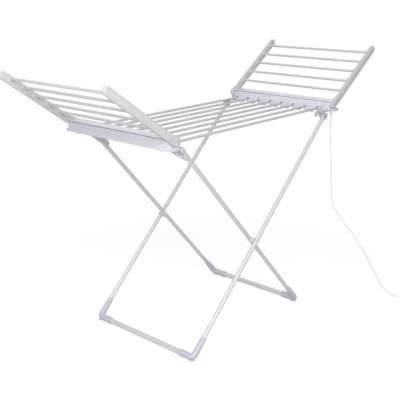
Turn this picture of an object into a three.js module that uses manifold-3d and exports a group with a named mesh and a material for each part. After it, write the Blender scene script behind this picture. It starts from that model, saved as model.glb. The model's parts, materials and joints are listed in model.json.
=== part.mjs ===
// Winged heated clothes airer: a rack of heated bars on crossed legs, with a raised wing at each end.
// Millimetres and degrees. X runs along the rack, Y across it, Z up, the floor is z = 0.
import * as THREE from "three";
import { mergeVertices } from "three/addons/utils/BufferGeometryUtils.js";
import Module from "manifold-3d";

const wasm = await Module();
wasm.setup();

// Overall sizes
const overallWidth = 555; // over the outer faces of the wing arms
const rackLength = 983; // over the outer faces of the two housings
const rackHeight = 840; // floor to the top edge of a housing base
const fitGap = 0.3; // between faces that touch on the real object
const weldDistance = 0.0001; // vertices closer than this are one
const overrun = 2; // how far a cutting tool runs past the face that it cuts
const roundSides = 16; // sides of a visible round piece
const smallSides = 12; // sides of a small round piece

// Heated bars
const barDiameter = 10;
const barWall = 1;
const railCount = 8;
const railEndInset = 45; // outermost rail to the end of the housing
const railDrop = 25; // rail centre below the top edge of the housing base
const rungCount = 5;
const rungPitch = 60;
const wireDiameter = 3.2;
const wireBend = 3; // bend radius of the heating wire
const wireBendSteps = 2;

// End housings
const housingDepth = 40;
const housingHeight = 38;
const housingWall = 2.5;
const skirtReach = 56; // how far the sloping skirt reaches over the rails
const skirtSideMargin = 10.5; // skirt beyond the middle lines of the outer rails
const skirtToeLift = 1;
const archRadius = 8; // opening in the skirt round each rail
const ribThickness = 2;
const railInsert = 10.5; // rail end past the inner face of the housing
const coverThickness = 3.5;
const coverOverlap = 1; // cover step that bears on the housing walls
const shadowGroove = 3; // height of the dark line under the cover
const coverRimDepth = 5;
const coverRimWall = 1.8;
const coverRimGap = 0.4;
const coverBevel = 1;

// Wings
const raisedAngle = 36;
const armThickness = 15;
const armGap = 0.5; // between the arm and the end of the housing
const armDepth = 30;
const armRound = 5; // rounding of the arm's long edges
const armEyeRadius = 17.5;
const armTaperLength = 34; // from the pivot to where the arm has its full taper
const armDrop = 4; // arm's middle line below the plane of the bars
const pivotInset = 8; // wing pivot outside the inner face of the housing
const pivotDrop = 8; // wing pivot below the top edge of the housing base
const firstRung = 81; // wing pivot to the nearest rung
const tipBeyondRung = 42; // last rung to the tip of the arm
const bossRadius = 8.5;
const bossHeight = 4.5;
const rungSocket = 4; // rung end inside the arm's inner face
const armChannelHeight = 12;
const armChannelDepth = 7;
const stubRadius = 5.5;
const stubHeadRadius = 8.5;
const stubHeadThickness = 2.7;
const ledgeSetback = 2; // wing ledge behind the outer face of the arm

// Leg frames
const legDiameter = 16;
const legWall = 1.2;
const footDiameter = 20;
const footWall = 1.2;
const legInset = 30; // middle plane of an inner leg to the end of the housing
const legPlaneGap = 30; // inner to outer leg, middle to middle
const legTopReach = 56.5; // inner leg hinge inside the inner face of the left housing
const outerTopReach = 50.6; // outer leg top inside the inner face of the right housing
const legTopDrop = 16; // leg tops below the underside of the housings
const innerFootX = 277;
const outerFootX = -391;
const footHeight = 13; // foot tube centre above the floor
const innerTopExtension = 9; // inner leg tube above its hinge
const outerTopExtension = 14; // outer leg tube above its top point
const elbowLegReach = 83; // sleeve up the leg, from the corner
const elbowFootReach = 66; // sleeve along the foot tube, from the corner
const elbowTubeStart = 20; // ends of both tubes, from the corner
const elbowLegRadius = 10.5;
const elbowFootRadius = 13.3;
const elbowCornerRadius = 12.3;
const elbowBend = 17;
const elbowSteps = 4;
const padRadius = 12;
const padHeight = 5;
const crossRivetRadius = 3;
const rivetHeadRadius = 6;
const rivetHeadThickness = 1.6;
const spacerRadius = 10;
const topCapRadius = 9.4;
const topCapSleeve = 8;
const topCapEnd = 2.5;
const hingePinRadius = 3;
const turningGap = 0.35; // radial gap of a hole round its pin

// Hinge brackets under the left housing
const bracketThickness = 9;
const bracketEyeRadius = 11;
const bracketFootInset = 6; // flange of the bracket inside the outer face of the housing
const bracketFlange = 4;
const bracketEdgeInset = 6.5; // lower edge of the gusset starts outside the housing's inner face
const bracketTip = 79; // gusset length along the leg
const bracketTipOffset = 5; // tip of the gusset beyond the leg's middle line
const bracketTipWidth = 7;
const stopLipStart = 18;
const stopLipLength = 24;
const stopLipThickness = 4;
const bracketSideGap = 0.6; // bracket face to the face of the leg cap
const catchSideGap = 2.5; // catch face to the face of the inner leg tube

// Catches on the right housing
const catchLength = 86;
const catchThickness = 9;
const catchTopLift = 6; // top of the catch above the underside of the housing
const catchArmDrop = 0.5; // lower edge of the catch below the underside of the housing
const catchRoofThickness = 3;
const catchToothLength = 8;
const catchToothPitch = 29;
const catchToothDrops = [10, 15]; // each tooth below the underside of the housing
const clawHalfWidth = 9;
const clawRadius = 11;
const clawLength = 8;
const clawLift = 10; // middle of the claw's round top above the top point of the leg
const ridgeCount = 3;
const ridgePitch = 6;
const ridgeDepth = 1.2;
const ridgeWidth = 2;

// Cord, plug, switch and terminals
const cordDiameter = 5.5;
const cordSides = 8;
const cordExitInset = 11.5; // cord inside the outer face of the right housing
const cordExitEndInset = 15.5; // cord to the near end of the housing
const glandRadius = 4.5;
const glandNeckRadius = 3.6;
const glandFlange = 2;
const glandLength = 14;
const glandTipRadius = 3.6;
const coilTurnsPerLayer = 2;
const coilOuterRadius = 37;
const coilGap = 0.7;
const coilStepsPerTurn = 24;
const coilSides = 6;
const coilCentre = new THREE.Vector2(582, -672);
const coilStartAngle = 10;
const coilLead = 34;
const floorGap = 0.1;
const plugWidth = 46;
const plugLength = 44;
const plugThickness = 22;
const plugBevel = 4;
const plugPinThickness = 4;
const plugPinWidth = 6.4;
const plugPinLength = 17.5;
const plugEarthPinWidth = 8;
const plugEarthPinLength = 22.5;
const plugPinSpacing = 22;
const plugPinOffset = 11;
const switchEndInset = 72; // switch centre to the near end of the housing
const switchLength = 19;
const switchHeight = 12.6;
const switchDepth = 14;
const switchFlange = 2.5;
const switchFlangeThickness = 1.6;
const switchWell = 9;
const switchWellWall = 1.2;
const rockerGap = 0.5;
const rockerAngle = 7;
const rockerRise = 2.6;
const rockerAxisDepth = 2.5; // rocker axis behind the face of the switch flange
const terminalLength = 15;
const terminalWidth = 14;
const terminalHeight = 11;
const terminalInset = 8; // terminal block to the middle line of the last rail
const returnWireInset = 7;
const returnWireHeight = 6;

// Places worked out from the sizes
const outerFace = rackLength / 2;
const innerFace = outerFace - housingDepth;
const housingHalf = overallWidth / 2 - armThickness - armGap;
const railPitch = (2 * (housingHalf - railEndInset)) / (railCount - 1);
const innerLegHalfWidth = housingHalf - legInset;
const outerLegHalfWidth = innerLegHalfWidth + legPlaneGap;
const cordExitHalfWidth = housingHalf - cordExitEndInset;
const switchHalfWidth = housingHalf - switchEndInset;
const underside = rackHeight - housingHeight;
const railHeight = rackHeight - railDrop;
const barRadius = barDiameter / 2;
const barBore = barRadius - barWall;
const wireRadius = wireDiameter / 2;
const wireDrop = barBore * Math.cos(Math.PI / smallSides) - wireRadius - fitGap;
const armInnerFace = housingHalf + armGap;
const stubHeadFace = overallWidth / 2 - armGap;
const stubHeadBack = stubHeadFace - stubHeadThickness;
const pivotX = innerFace + pivotInset;
const pivotHeight = rackHeight - pivotDrop;
const armLength = firstRung + (rungCount - 1) * rungPitch + tipBeyondRung;
const legRadius = legDiameter / 2;
const footRadius = footDiameter / 2;
const cordRadius = cordDiameter / 2;
const innerTop = new THREE.Vector2(-(innerFace - legTopReach), underside - legTopDrop);
const outerTop = new THREE.Vector2(innerFace - outerTopReach, underside - legTopDrop);
const innerFoot = new THREE.Vector2(innerFootX, footHeight);
const outerFoot = new THREE.Vector2(outerFootX, footHeight);
const railYs = Array.from({ length: railCount }, (_, i) => ((railCount - 1) / 2 - i) * railPitch);
const rungXs = Array.from({ length: rungCount }, (_, k) => firstRung + k * rungPitch);
const skirtHalf = railYs[0] + skirtSideMargin;
const crossing = lineCrossing(innerTop, innerFoot, outerTop, outerFoot);
const Y = new THREE.Vector3(0, 1, 0);

function lineCrossing(a, b, c, d) {
  const p = b.clone().sub(a);
  const q = d.clone().sub(c);
  const t = c.clone().sub(a).cross(q) / p.cross(q);
  return a.clone().addScaledVector(p, t);
}

// A point of the leg planes, given as (x, z), at the depth y
function inPlane(point, y) {
  return new THREE.Vector3(point.x, y, point.y);
}

// Solids: three.js geometry to manifold and back
function toSolid(geometry) {
  const bare = geometry.clone();
  bare.deleteAttribute("normal");
  bare.deleteAttribute("uv");
  const merged = mergeVertices(bare, weldDistance);
  const mesh = new wasm.Mesh({
    numProp: 3,
    vertProperties: new Float32Array(merged.attributes.position.array),
    triVerts: new Uint32Array(merged.index.array),
  });
  return new wasm.Manifold(mesh);
}

function toGeometry(solid) {
  const mesh = solid.getMesh();
  const geometry = new THREE.BufferGeometry();
  geometry.setAttribute("position", new THREE.BufferAttribute(new Float32Array(mesh.vertProperties), 3));
  geometry.setIndex(new THREE.BufferAttribute(new Uint32Array(mesh.triVerts), 1));
  return geometry;
}

function join(...geometries) {
  return toGeometry(geometries.map(toSolid).reduce((sum, solid) => sum.add(solid)));
}

function cut(geometry, ...tools) {
  return toGeometry(tools.map(toSolid).reduce((rest, tool) => rest.subtract(tool), toSolid(geometry)));
}

// Box between two corners
function box(x0, x1, y0, y1, z0, z1) {
  const geometry = new THREE.BoxGeometry(x1 - x0, y1 - y0, z1 - z0);
  return geometry.translate((x0 + x1) / 2, (y0 + y1) / 2, (z0 + z1) / 2);
}

// Solid cylinder from point a to point b
function rod(a, b, radius, sides = smallSides, radiusEnd = radius) {
  const axis = b.clone().sub(a);
  const geometry = new THREE.CylinderGeometry(radiusEnd, radius, axis.length(), sides);
  geometry.applyQuaternion(new THREE.Quaternion().setFromUnitVectors(Y, axis.clone().normalize()));
  return geometry.translate(...a.clone().add(b).multiplyScalar(1 / 2).toArray());
}

// Open tube from point a to point b
function pipe(a, b, radius, bore, sides = smallSides) {
  const reach = b.clone().sub(a).normalize().multiplyScalar(overrun);
  return cut(rod(a, b, radius, sides), rod(a.clone().sub(reach), b.clone().add(reach), bore, sides));
}

// Flat plate with an outline in X and Z, from y0 to y1, with its long edges rounded by bevel
function plate(shape, y0, y1, bevel = 0) {
  const geometry = new THREE.ExtrudeGeometry(shape, {
    depth: y1 - y0 - 2 * bevel,
    bevelEnabled: bevel > 0,
    bevelThickness: bevel,
    bevelSize: bevel,
    bevelOffset: -bevel,
    bevelSegments: 2,
    curveSegments: 6,
  });
  geometry.rotateX(Math.PI / 2);
  return geometry.translate(0, y1 - bevel, 0);
}

function outline(points) {
  return new THREE.Shape(points.map(([x, z]) => new THREE.Vector2(x, z)));
}

// Stadium outline round two points, with ends of two radii
function stadium(a, b, radiusA, radiusB) {
  const angle = Math.atan2(b.y - a.y, b.x - a.x);
  const shape = new THREE.Shape();
  shape.absarc(a.x, a.y, radiusA, angle + Math.PI / 2, angle - Math.PI / 2 + 2 * Math.PI, false);
  shape.absarc(b.x, b.y, radiusB, angle - Math.PI / 2, angle + Math.PI / 2, false);
  shape.closePath();
  return shape;
}

// Closed tube through points, with a radius at each point
function tubeAlong(points, radii, sides) {
  const rings = points.length;
  const positions = [];
  const index = [];
  let normal = null;
  points.forEach((point, i) => {
    const before = points[Math.max(i - 1, 0)];
    const after = points[Math.min(i + 1, rings - 1)];
    const way = after.clone().sub(point).normalize().add(point.clone().sub(before).normalize()).normalize();
    const helper = Math.abs(way.z) < Math.SQRT1_2 ? new THREE.Vector3(0, 0, 1) : new THREE.Vector3(1, 0, 0);
    const seed = normal ?? helper;
    normal = seed.clone().addScaledVector(way, -seed.dot(way)).normalize();
    const side = way.clone().cross(normal);
    for (let k = 0; k < sides; k += 1) {
      const turn = (2 * Math.PI * k) / sides;
      const out = normal.clone().multiplyScalar(Math.cos(turn)).addScaledVector(side, Math.sin(turn));
      positions.push(...point.clone().addScaledVector(out, radii[i]).toArray());
    }
  });
  for (let i = 0; i + 1 < rings; i += 1) {
    for (let k = 0; k < sides; k += 1) {
      const here = i * sides;
      const next = (k + 1) % sides;
      index.push(here + k, here + next, here + sides + k);
      index.push(here + next, here + sides + next, here + sides + k);
    }
  }
  for (let k = 1; k + 1 < sides; k += 1) {
    const last = (rings - 1) * sides;
    index.push(0, k + 1, k);
    index.push(last, last + k, last + k + 1);
  }
  const geometry = new THREE.BufferGeometry();
  geometry.setAttribute("position", new THREE.Float32BufferAttribute(positions, 3));
  geometry.setIndex(index);
  return geometry;
}

// Points of a path whose corners are rounded
function roundedPath(corners, radius, steps) {
  const points = [corners[0]];
  for (let i = 1; i + 1 < corners.length; i += 1) {
    const corner = corners[i];
    const from = corners[i - 1].clone().sub(corner).normalize().multiplyScalar(radius).add(corner);
    const to = corners[i + 1].clone().sub(corner).normalize().multiplyScalar(radius).add(corner);
    points.push(...new THREE.QuadraticBezierCurve3(from, corner, to).getPoints(steps));
  }
  points.push(corners[corners.length - 1]);
  return points;
}

// Colours and finishes
const lilac = { color: 0xcfced6, roughness: 0.5, metalness: 0 };
const elbowGrey = { color: 0xc3c4d2, roughness: 0.5, metalness: 0 };
const aluminium = { color: 0xd8d9dc, roughness: 0.35, metalness: 1 };
const barGrey = { color: 0xb9bbbe, roughness: 0.45, metalness: 0.8 };
const steel = { color: 0xa8a9ad, roughness: 0.3, metalness: 1 };
const white = { color: 0xeae8e6, roughness: 0.55, metalness: 0 };
const copper = { color: 0xb06a45, roughness: 0.5, metalness: 0.6 };
const black = { color: 0x2a2a2e, roughness: 0.45, metalness: 0 };

const airer = new THREE.Group();

function add(name, geometry, finish, parent = airer) {
  const mesh = new THREE.Mesh(geometry, new THREE.MeshStandardMaterial(finish));
  mesh.name = name;
  parent.add(mesh);
}

// End housing: a box open at the top, with a skirt over the rail ends and a stub axle at each end
function housingBase() {
  const cavityFloor = underside + housingWall;
  const shell = box(innerFace, outerFace, -housingHalf, housingHalf, underside, rackHeight);
  const parts = [shell, skirtPanel(), ...skirtRibs()];
  for (const side of [-1, 1]) {
    parts.push(wingStub(side), wingLedge(side));
  }
  const cavityHalf = housingHalf - housingWall;
  const cuts = [
    box(innerFace + housingWall, outerFace - housingWall, -cavityHalf, cavityHalf,
      cavityFloor, rackHeight + overrun),
  ];
  for (const y of railYs) {
    const wallStart = new THREE.Vector3(innerFace - skirtReach - overrun, y, railHeight);
    const wallEnd = new THREE.Vector3(innerFace - overrun, y, railHeight);
    const holeEnd = new THREE.Vector3(innerFace + housingWall + overrun, y, railHeight);
    cuts.push(rod(wallStart, wallEnd, archRadius, roundSides));
    cuts.push(box(wallStart.x, wallEnd.x, y - archRadius, y + archRadius, underside - overrun, railHeight));
    cuts.push(rod(wallEnd, holeEnd, barRadius + fitGap));
  }
  return cut(join(...parts), ...cuts);
}

function skirtLine() {
  const toe = [innerFace - skirtReach, underside + skirtToeLift];
  const head = [innerFace + overrun / 2, rackHeight];
  const slope = Math.atan2(head[1] - toe[1], head[0] - toe[0]);
  return { toe, head, shift: housingWall / Math.sin(slope) };
}

function skirtPanel() {
  const { toe, head, shift } = skirtLine();
  const drop = (shift * (head[1] - toe[1])) / (head[0] - toe[0]);
  const profile = outline([toe, [toe[0] + shift, toe[1]], [head[0], head[1] - drop], head]);
  return plate(profile, -skirtHalf, skirtHalf);
}

function skirtRibs() {
  const { toe, head } = skirtLine();
  const profile = outline([toe, [head[0], toe[1]], head]);
  const between = railYs.slice(1).map((y) => y + railPitch / 2);
  const middles = [skirtHalf - ribThickness / 2, ...between, ribThickness / 2 - skirtHalf];
  return middles.map((y) => plate(profile, y - ribThickness / 2, y + ribThickness / 2));
}

function wingStub(side) {
  const place = (y) => new THREE.Vector3(pivotX, side * y, pivotHeight);
  return join(
    rod(place(housingHalf - housingWall), place(stubHeadBack + fitGap), stubRadius, roundSides),
    rod(place(stubHeadBack), place(stubHeadFace), stubHeadRadius, roundSides),
  );
}

// Ledge that the wing arm rests on when the wing lies flat, parallel to the arm's tapered underside
function wingLedge(side) {
  const taper = Math.asin((armEyeRadius - armDepth / 2) / Math.hypot(armTaperLength, armDrop));
  const slope = taper - Math.atan2(armDrop, armTaperLength);
  const low = pivotHeight - armEyeRadius / Math.cos(slope) - fitGap;
  const rise = (outerFace - pivotX) * Math.tan(slope) - armEyeRadius / Math.cos(slope) - fitGap;
  const profile = outline([
    [innerFace, underside],
    [outerFace, underside],
    [outerFace, pivotHeight + rise],
    [pivotX, low],
    [innerFace, low],
  ]);
  const y0 = side * (housingHalf - housingWall);
  const y1 = side * (overallWidth / 2 - ledgeSetback);
  return plate(profile, Math.min(y0, y1), Math.max(y0, y1));
}

// Housing cover: a plate on a narrower step, so that a dark groove runs round under it
function housingCover() {
  const inset = housingWall - coverOverlap;
  const stepBottom = rackHeight + fitGap;
  const stepTop = stepBottom + shadowGroove;
  const rimOuter = housingWall + coverRimGap;
  const rimInner = rimOuter + coverRimWall;
  const top = new THREE.Shape();
  const halfX = housingDepth / 2;
  top.moveTo(-halfX, -housingHalf);
  top.lineTo(halfX, -housingHalf);
  top.lineTo(halfX, housingHalf);
  top.lineTo(-halfX, housingHalf);
  const lid = new THREE.ExtrudeGeometry(top, {
    depth: coverThickness - coverBevel,
    bevelThickness: coverBevel,
    bevelSize: coverBevel,
    bevelOffset: -coverBevel,
    bevelSegments: 2,
  });
  lid.translate(innerFace + halfX, 0, stepTop);
  const step = box(innerFace + inset, outerFace - inset, inset - housingHalf, housingHalf - inset,
    stepBottom, stepTop + coverBevel);
  const rim = cut(
    box(innerFace + rimOuter, outerFace - rimOuter, rimOuter - housingHalf, housingHalf - rimOuter,
      stepBottom - coverRimDepth, stepBottom + overrun / 2),
    box(innerFace + rimInner, outerFace - rimInner, rimInner - housingHalf, housingHalf - rimInner,
      stepBottom - coverRimDepth - overrun, stepBottom),
  );
  return join(lid, step, rim);
}

// Wing arm in the wing's own frame: the pivot is the origin and the arm runs along X
function wingArm(side) {
  const y0 = side > 0 ? armInnerFace : -armInnerFace - armThickness;
  const eye = new THREE.Vector2(0, 0);
  const tip = new THREE.Vector2(armLength - armDepth / 2, -armDrop);
  const shoulder = new THREE.Vector2(armTaperLength, -armDrop);
  const bar = plate(stadium(shoulder, tip, armDepth / 2, armDepth / 2), y0, y0 + armThickness, armRound);
  const knuckle = plate(stadium(eye, shoulder, armEyeRadius, armDepth / 2), y0, y0 + armThickness, armRound);
  const at = (x, y) => new THREE.Vector3(x, side * y, 0);
  const bosses = rungXs.map((x) =>
    rod(at(x, armInnerFace - bossHeight), at(x, armInnerFace + rungSocket), bossRadius));
  const channelStart = armInnerFace + rungSocket;
  const channelYs = [side * channelStart, side * (channelStart + armChannelDepth)];
  const channel = box(firstRung - bossRadius, rungXs[rungCount - 1] + bossRadius,
    Math.min(...channelYs), Math.max(...channelYs), -armChannelHeight / 2, armChannelHeight / 2);
  const sockets = rungXs.map((x) =>
    rod(at(x, armInnerFace - bossHeight - overrun), at(x, channelStart + overrun), barRadius + fitGap));
  const outerSide = armInnerFace + armThickness;
  const recess = stubHeadBack - turningGap;
  const boreRadius = stubRadius + turningGap;
  const bore = rod(at(0, armInnerFace - overrun), at(0, outerSide + overrun), boreRadius, roundSides);
  const counterbore = rod(at(0, recess), at(0, outerSide + overrun), stubHeadRadius + turningGap, roundSides);
  return cut(join(bar, knuckle, ...bosses), channel, ...sockets, bore, counterbore);
}

function wingWire() {
  const channelMiddle = armInnerFace + rungSocket + armChannelDepth / 2;
  const low = -wireDrop;
  const start = firstRung - bossRadius + wireDiameter;
  const corners = [new THREE.Vector3(start, -channelMiddle, low)];
  rungXs.forEach((x, k) => {
    const from = k % 2 === 0 ? -channelMiddle : channelMiddle;
    corners.push(new THREE.Vector3(x, from, low), new THREE.Vector3(x, -from, low));
  });
  return tubeAlong(...evenTube(roundedPath(corners, wireBend, wireBendSteps), wireRadius), coilSides);
}

function evenTube(points, radius) {
  return [points, points.map(() => radius)];
}

function addWing(name, turned) {
  const wing = new THREE.Group();
  wing.rotation.y = -THREE.MathUtils.degToRad(raisedAngle);
  wing.position.set(pivotX, 0, pivotHeight);
  const half = new THREE.Group();
  half.rotation.z = turned ? Math.PI : 0;
  half.add(wing);
  airer.add(half);
  const nearSide = turned ? 1 : -1;
  add(`${name}_wing_arm_near`, wingArm(nearSide), lilac, wing);
  add(`${name}_wing_arm_far`, wingArm(-nearSide), lilac, wing);
  const rungEnd = armInnerFace + rungSocket;
  rungXs.forEach((x, k) => {
    const a = new THREE.Vector3(x, -rungEnd, 0);
    const b = new THREE.Vector3(x, rungEnd, 0);
    add(`${name}_wing_bar_${k + 1}`, pipe(a, b, barRadius, barBore), barGrey, wing);
  });
  add(`${name}_wing_heating_wire`, wingWire(), copper, wing);
}

// Rack: housings, rails and the heating wire that runs through all rails
function addRack() {
  const openings = [glandHole(), switchHole()];
  add("right_housing_base", cut(housingBase(), ...openings), lilac);
  add("right_housing_cover", housingCover(), lilac);
  add("left_housing_base", housingBase().rotateZ(Math.PI), lilac);
  add("left_housing_cover", housingCover().rotateZ(Math.PI), lilac);
  const railEnd = innerFace + railInsert;
  railYs.forEach((y, i) => {
    const a = new THREE.Vector3(-railEnd, y, railHeight);
    const b = new THREE.Vector3(railEnd, y, railHeight);
    add(`rack_bar_${i + 1}`, pipe(a, b, barRadius, barBore), barGrey);
  });
  add("rack_heating_wire", rackWire(), copper);
}

function rackWire() {
  const turnX = innerFace + railInsert + wireBend + wireRadius;
  const level = railHeight - wireDrop;
  const terminalFace = railYs[railCount - 1] - terminalInset - fitGap;
  const returnX = outerFace - returnWireInset;
  const returnLevel = underside + returnWireHeight;
  const corners = [new THREE.Vector3(turnX, terminalFace, level)];
  for (let i = railCount - 1; i >= 0; i -= 1) {
    const from = (railCount - 1 - i) % 2 === 0 ? turnX : -turnX;
    corners.push(new THREE.Vector3(from, railYs[i], level), new THREE.Vector3(-from, railYs[i], level));
  }
  corners.push(new THREE.Vector3(returnX, railYs[0], returnLevel));
  corners.push(new THREE.Vector3(returnX, terminalFace + 2 * wireBend, returnLevel));
  corners.push(new THREE.Vector3(turnX + wireDiameter * 1.5, terminalFace + 2 * wireBend, returnLevel));
  corners.push(new THREE.Vector3(turnX + wireDiameter * 1.5, terminalFace, returnLevel));
  return tubeAlong(...evenTube(roundedPath(corners, wireBend, wireBendSteps), wireRadius), coilSides);
}

// Leg frames
function legDirection(top, foot) {
  return foot.clone().sub(top).normalize();
}

function legHole(point, radius) {
  const reach = outerLegHalfWidth + legDiameter;
  return rod(inPlane(point, -reach), inPlane(point, reach), radius, smallSides);
}

function legTube(top, foot, extension, y, holes) {
  const way = legDirection(top, foot);
  const upper = top.clone().addScaledVector(way, -extension);
  const lower = foot.clone().addScaledVector(way, -elbowTubeStart);
  const tube = pipe(inPlane(upper, y), inPlane(lower, y), legRadius, legRadius - legWall, roundSides);
  return cut(tube, ...holes);
}

function footTube(foot, halfWidth) {
  const end = halfWidth - elbowTubeStart;
  return pipe(inPlane(foot, -end), inPlane(foot, end), footRadius, footRadius - footWall, roundSides);
}

// Corner elbow: a sleeve up the leg, a round corner and a sleeve along the foot tube, flat at the floor
function elbow(top, foot, y) {
  const way = legDirection(top, foot);
  const corner = inPlane(foot, y);
  const up = inPlane(way, 0).negate();
  const along = new THREE.Vector3(0, -Math.sign(y), 0);
  const legEnd = corner.clone().addScaledVector(up, elbowLegReach);
  const footEnd = corner.clone().addScaledVector(along, elbowFootReach);
  const from = corner.clone().addScaledVector(up, elbowBend);
  const to = corner.clone().addScaledVector(along, elbowBend);
  const bend = new THREE.QuadraticBezierCurve3(from, corner, to).getPoints(elbowSteps);
  const points = [legEnd, ...bend, footEnd];
  const radii = points.map((_, i) => {
    if (i === 0) return elbowLegRadius;
    return i === points.length - 1 ? elbowFootRadius : elbowCornerRadius;
  });
  const padY = y + Math.sign(along.y) * elbowBend / 2;
  const padFoot = new THREE.Vector3(foot.x, padY, 0);
  const padTop = new THREE.Vector3(foot.x, padY, padHeight);
  const pad = rod(padFoot, padTop, padRadius, roundSides);
  const socketStart = elbowTubeStart - fitGap;
  const legSocket = rod(corner.clone().addScaledVector(up, socketStart),
    corner.clone().addScaledVector(up, elbowLegReach + overrun), legRadius + fitGap, roundSides);
  const footSocket = rod(corner.clone().addScaledVector(along, socketStart),
    corner.clone().addScaledVector(along, elbowFootReach + overrun), footRadius + fitGap, roundSides);
  const reach = 2 * elbowLegReach;
  const floor = box(foot.x - reach, foot.x + reach, y - reach, y + reach, -reach, 0);
  return cut(join(tubeAlong(points, radii, roundSides), pad), legSocket, footSocket, floor);
}

function topCap(y) {
  const way = legDirection(innerTop, innerFoot);
  const tubeEnd = innerTop.clone().addScaledVector(way, -innerTopExtension - fitGap);
  const capEnd = tubeEnd.clone().addScaledVector(way, -topCapEnd);
  const sleeveEnd = innerTop.clone().addScaledVector(way, topCapSleeve);
  const past = innerTop.clone().addScaledVector(way, topCapSleeve + overrun);
  const body = rod(inPlane(capEnd, y), inPlane(sleeveEnd, y), topCapRadius, roundSides);
  const bore = rod(inPlane(tubeEnd, y), inPlane(past, y), legRadius + fitGap, roundSides);
  return cut(body, bore, legHole(innerTop, hingePinRadius + turningGap));
}

function clawMiddle() {
  return outerTop.clone().addScaledVector(legDirection(outerTop, outerFoot), -clawLift);
}

// Claw on the top of an outer leg, with grip ridges across it
function outerClaw(side) {
  const way = legDirection(outerTop, outerFoot);
  const across = new THREE.Vector2(-way.y, way.x);
  const high = clawMiddle();
  const low = high.clone().addScaledVector(way, clawLength);
  const y0 = side * outerLegHalfWidth - clawHalfWidth;
  const body = plate(stadium(high, low, clawRadius, clawRadius), y0, y0 + 2 * clawHalfWidth);
  const tubeEnd = outerTop.clone().addScaledVector(way, -outerTopExtension - fitGap);
  const past = low.clone().addScaledVector(way, clawRadius + overrun);
  const y = side * outerLegHalfWidth;
  const bore = rod(inPlane(tubeEnd, y), inPlane(past, y), legRadius + fitGap, roundSides);
  const ridges = [];
  for (let i = 0; i < ridgeCount; i += 1) {
    const middle = high.clone().addScaledVector(way, clawLength / 2 + ridgePitch * (i - 1));
    for (const edge of [-1, 1]) {
      const groove = middle.clone().addScaledVector(across, edge * clawRadius);
      const halfGroove = ridgeWidth / 2;
      const corners = [[-1, -1], [1, -1], [1, 1], [-1, 1]].map(([u, v]) => {
        const point = groove.clone().addScaledVector(way, u * halfGroove);
        point.addScaledVector(across, v * ridgeDepth);
        return [point.x, point.y];
      });
      ridges.push(plate(outline(corners), y0 - overrun, y0 + 2 * clawHalfWidth + overrun));
    }
  }
  return cut(body, bore, ...ridges);
}

function headedPin(point, yHead, yEnd, radius) {
  const out = Math.sign(yHead - yEnd);
  const headTop = yHead + out * rivetHeadThickness;
  return join(
    rod(inPlane(point, yHead), inPlane(point, headTop), rivetHeadRadius, smallSides),
    rod(inPlane(point, yEnd), inPlane(point, headTop), radius, smallSides),
  );
}

function crossRivet(side) {
  const outside = side * (outerLegHalfWidth + legRadius + fitGap);
  const inside = side * (innerLegHalfWidth - legRadius - fitGap);
  return join(
    headedPin(crossing, outside, inside, crossRivetRadius),
    headedPin(crossing, inside, outside, crossRivetRadius),
  );
}

function crossSpacer(side) {
  const start = side * innerLegHalfWidth;
  const end = side * (outerLegHalfWidth - legRadius - fitGap);
  const way = legDirection(innerTop, innerFoot);
  const a = crossing.clone().addScaledVector(way, -2 * spacerRadius);
  const b = crossing.clone().addScaledVector(way, 2 * spacerRadius);
  const saddle = rod(inPlane(a, start), inPlane(b, start), legRadius + fitGap, roundSides);
  return cut(rod(inPlane(crossing, start), inPlane(crossing, end), spacerRadius, roundSides),
    saddle, legHole(crossing, crossRivetRadius + fitGap), behindLeg(start, end));
}

// Everything on the leg's own side of its middle plane, which the spacer leaves free
function behindLeg(start, end) {
  const half = 2 * spacerRadius;
  const limit = start + Math.sign(end - start) * legRadius / 2;
  const far = start - Math.sign(end - start) * half;
  return box(crossing.x - half, crossing.x + half, Math.min(limit, far), Math.max(limit, far),
    crossing.y - half, crossing.y + half);
}

function addLegFrames() {
  const rivetHole = legHole(crossing, crossRivetRadius + turningGap);
  const pinHole = legHole(innerTop, hingePinRadius + turningGap);
  for (const [side, place] of [[-1, "near"], [1, "far"]]) {
    const innerY = side * innerLegHalfWidth;
    const outerY = side * outerLegHalfWidth;
    const innerTube = legTube(innerTop, innerFoot, innerTopExtension, innerY, [rivetHole, pinHole]);
    add(`inner_leg_${place}`, innerTube, aluminium);
    add(`inner_leg_cap_${place}`, topCap(innerY), lilac);
    add(`inner_elbow_${place}`, elbow(innerTop, innerFoot, innerY), elbowGrey);
    const outerTube = legTube(outerTop, outerFoot, outerTopExtension, outerY, [rivetHole]);
    add(`outer_leg_${place}`, outerTube, aluminium);
    add(`outer_leg_claw_${place}`, outerClaw(side), lilac);
    add(`outer_elbow_${place}`, elbow(outerTop, outerFoot, outerY), elbowGrey);
    add(`cross_rivet_${place}`, crossRivet(side), steel);
    add(`cross_spacer_${place}`, crossSpacer(side), lilac);
    add(`leg_bracket_${place}`, legBracket(side), lilac);
    add(`leg_hinge_pin_${place}`, hingePin(side), steel);
    add(`leg_catch_${place}`, legCatch(side), lilac);
  }
  add("inner_foot_tube", footTube(innerFoot, innerLegHalfWidth), aluminium);
  add("outer_foot_tube", footTube(outerFoot, outerLegHalfWidth), aluminium);
}

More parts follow.
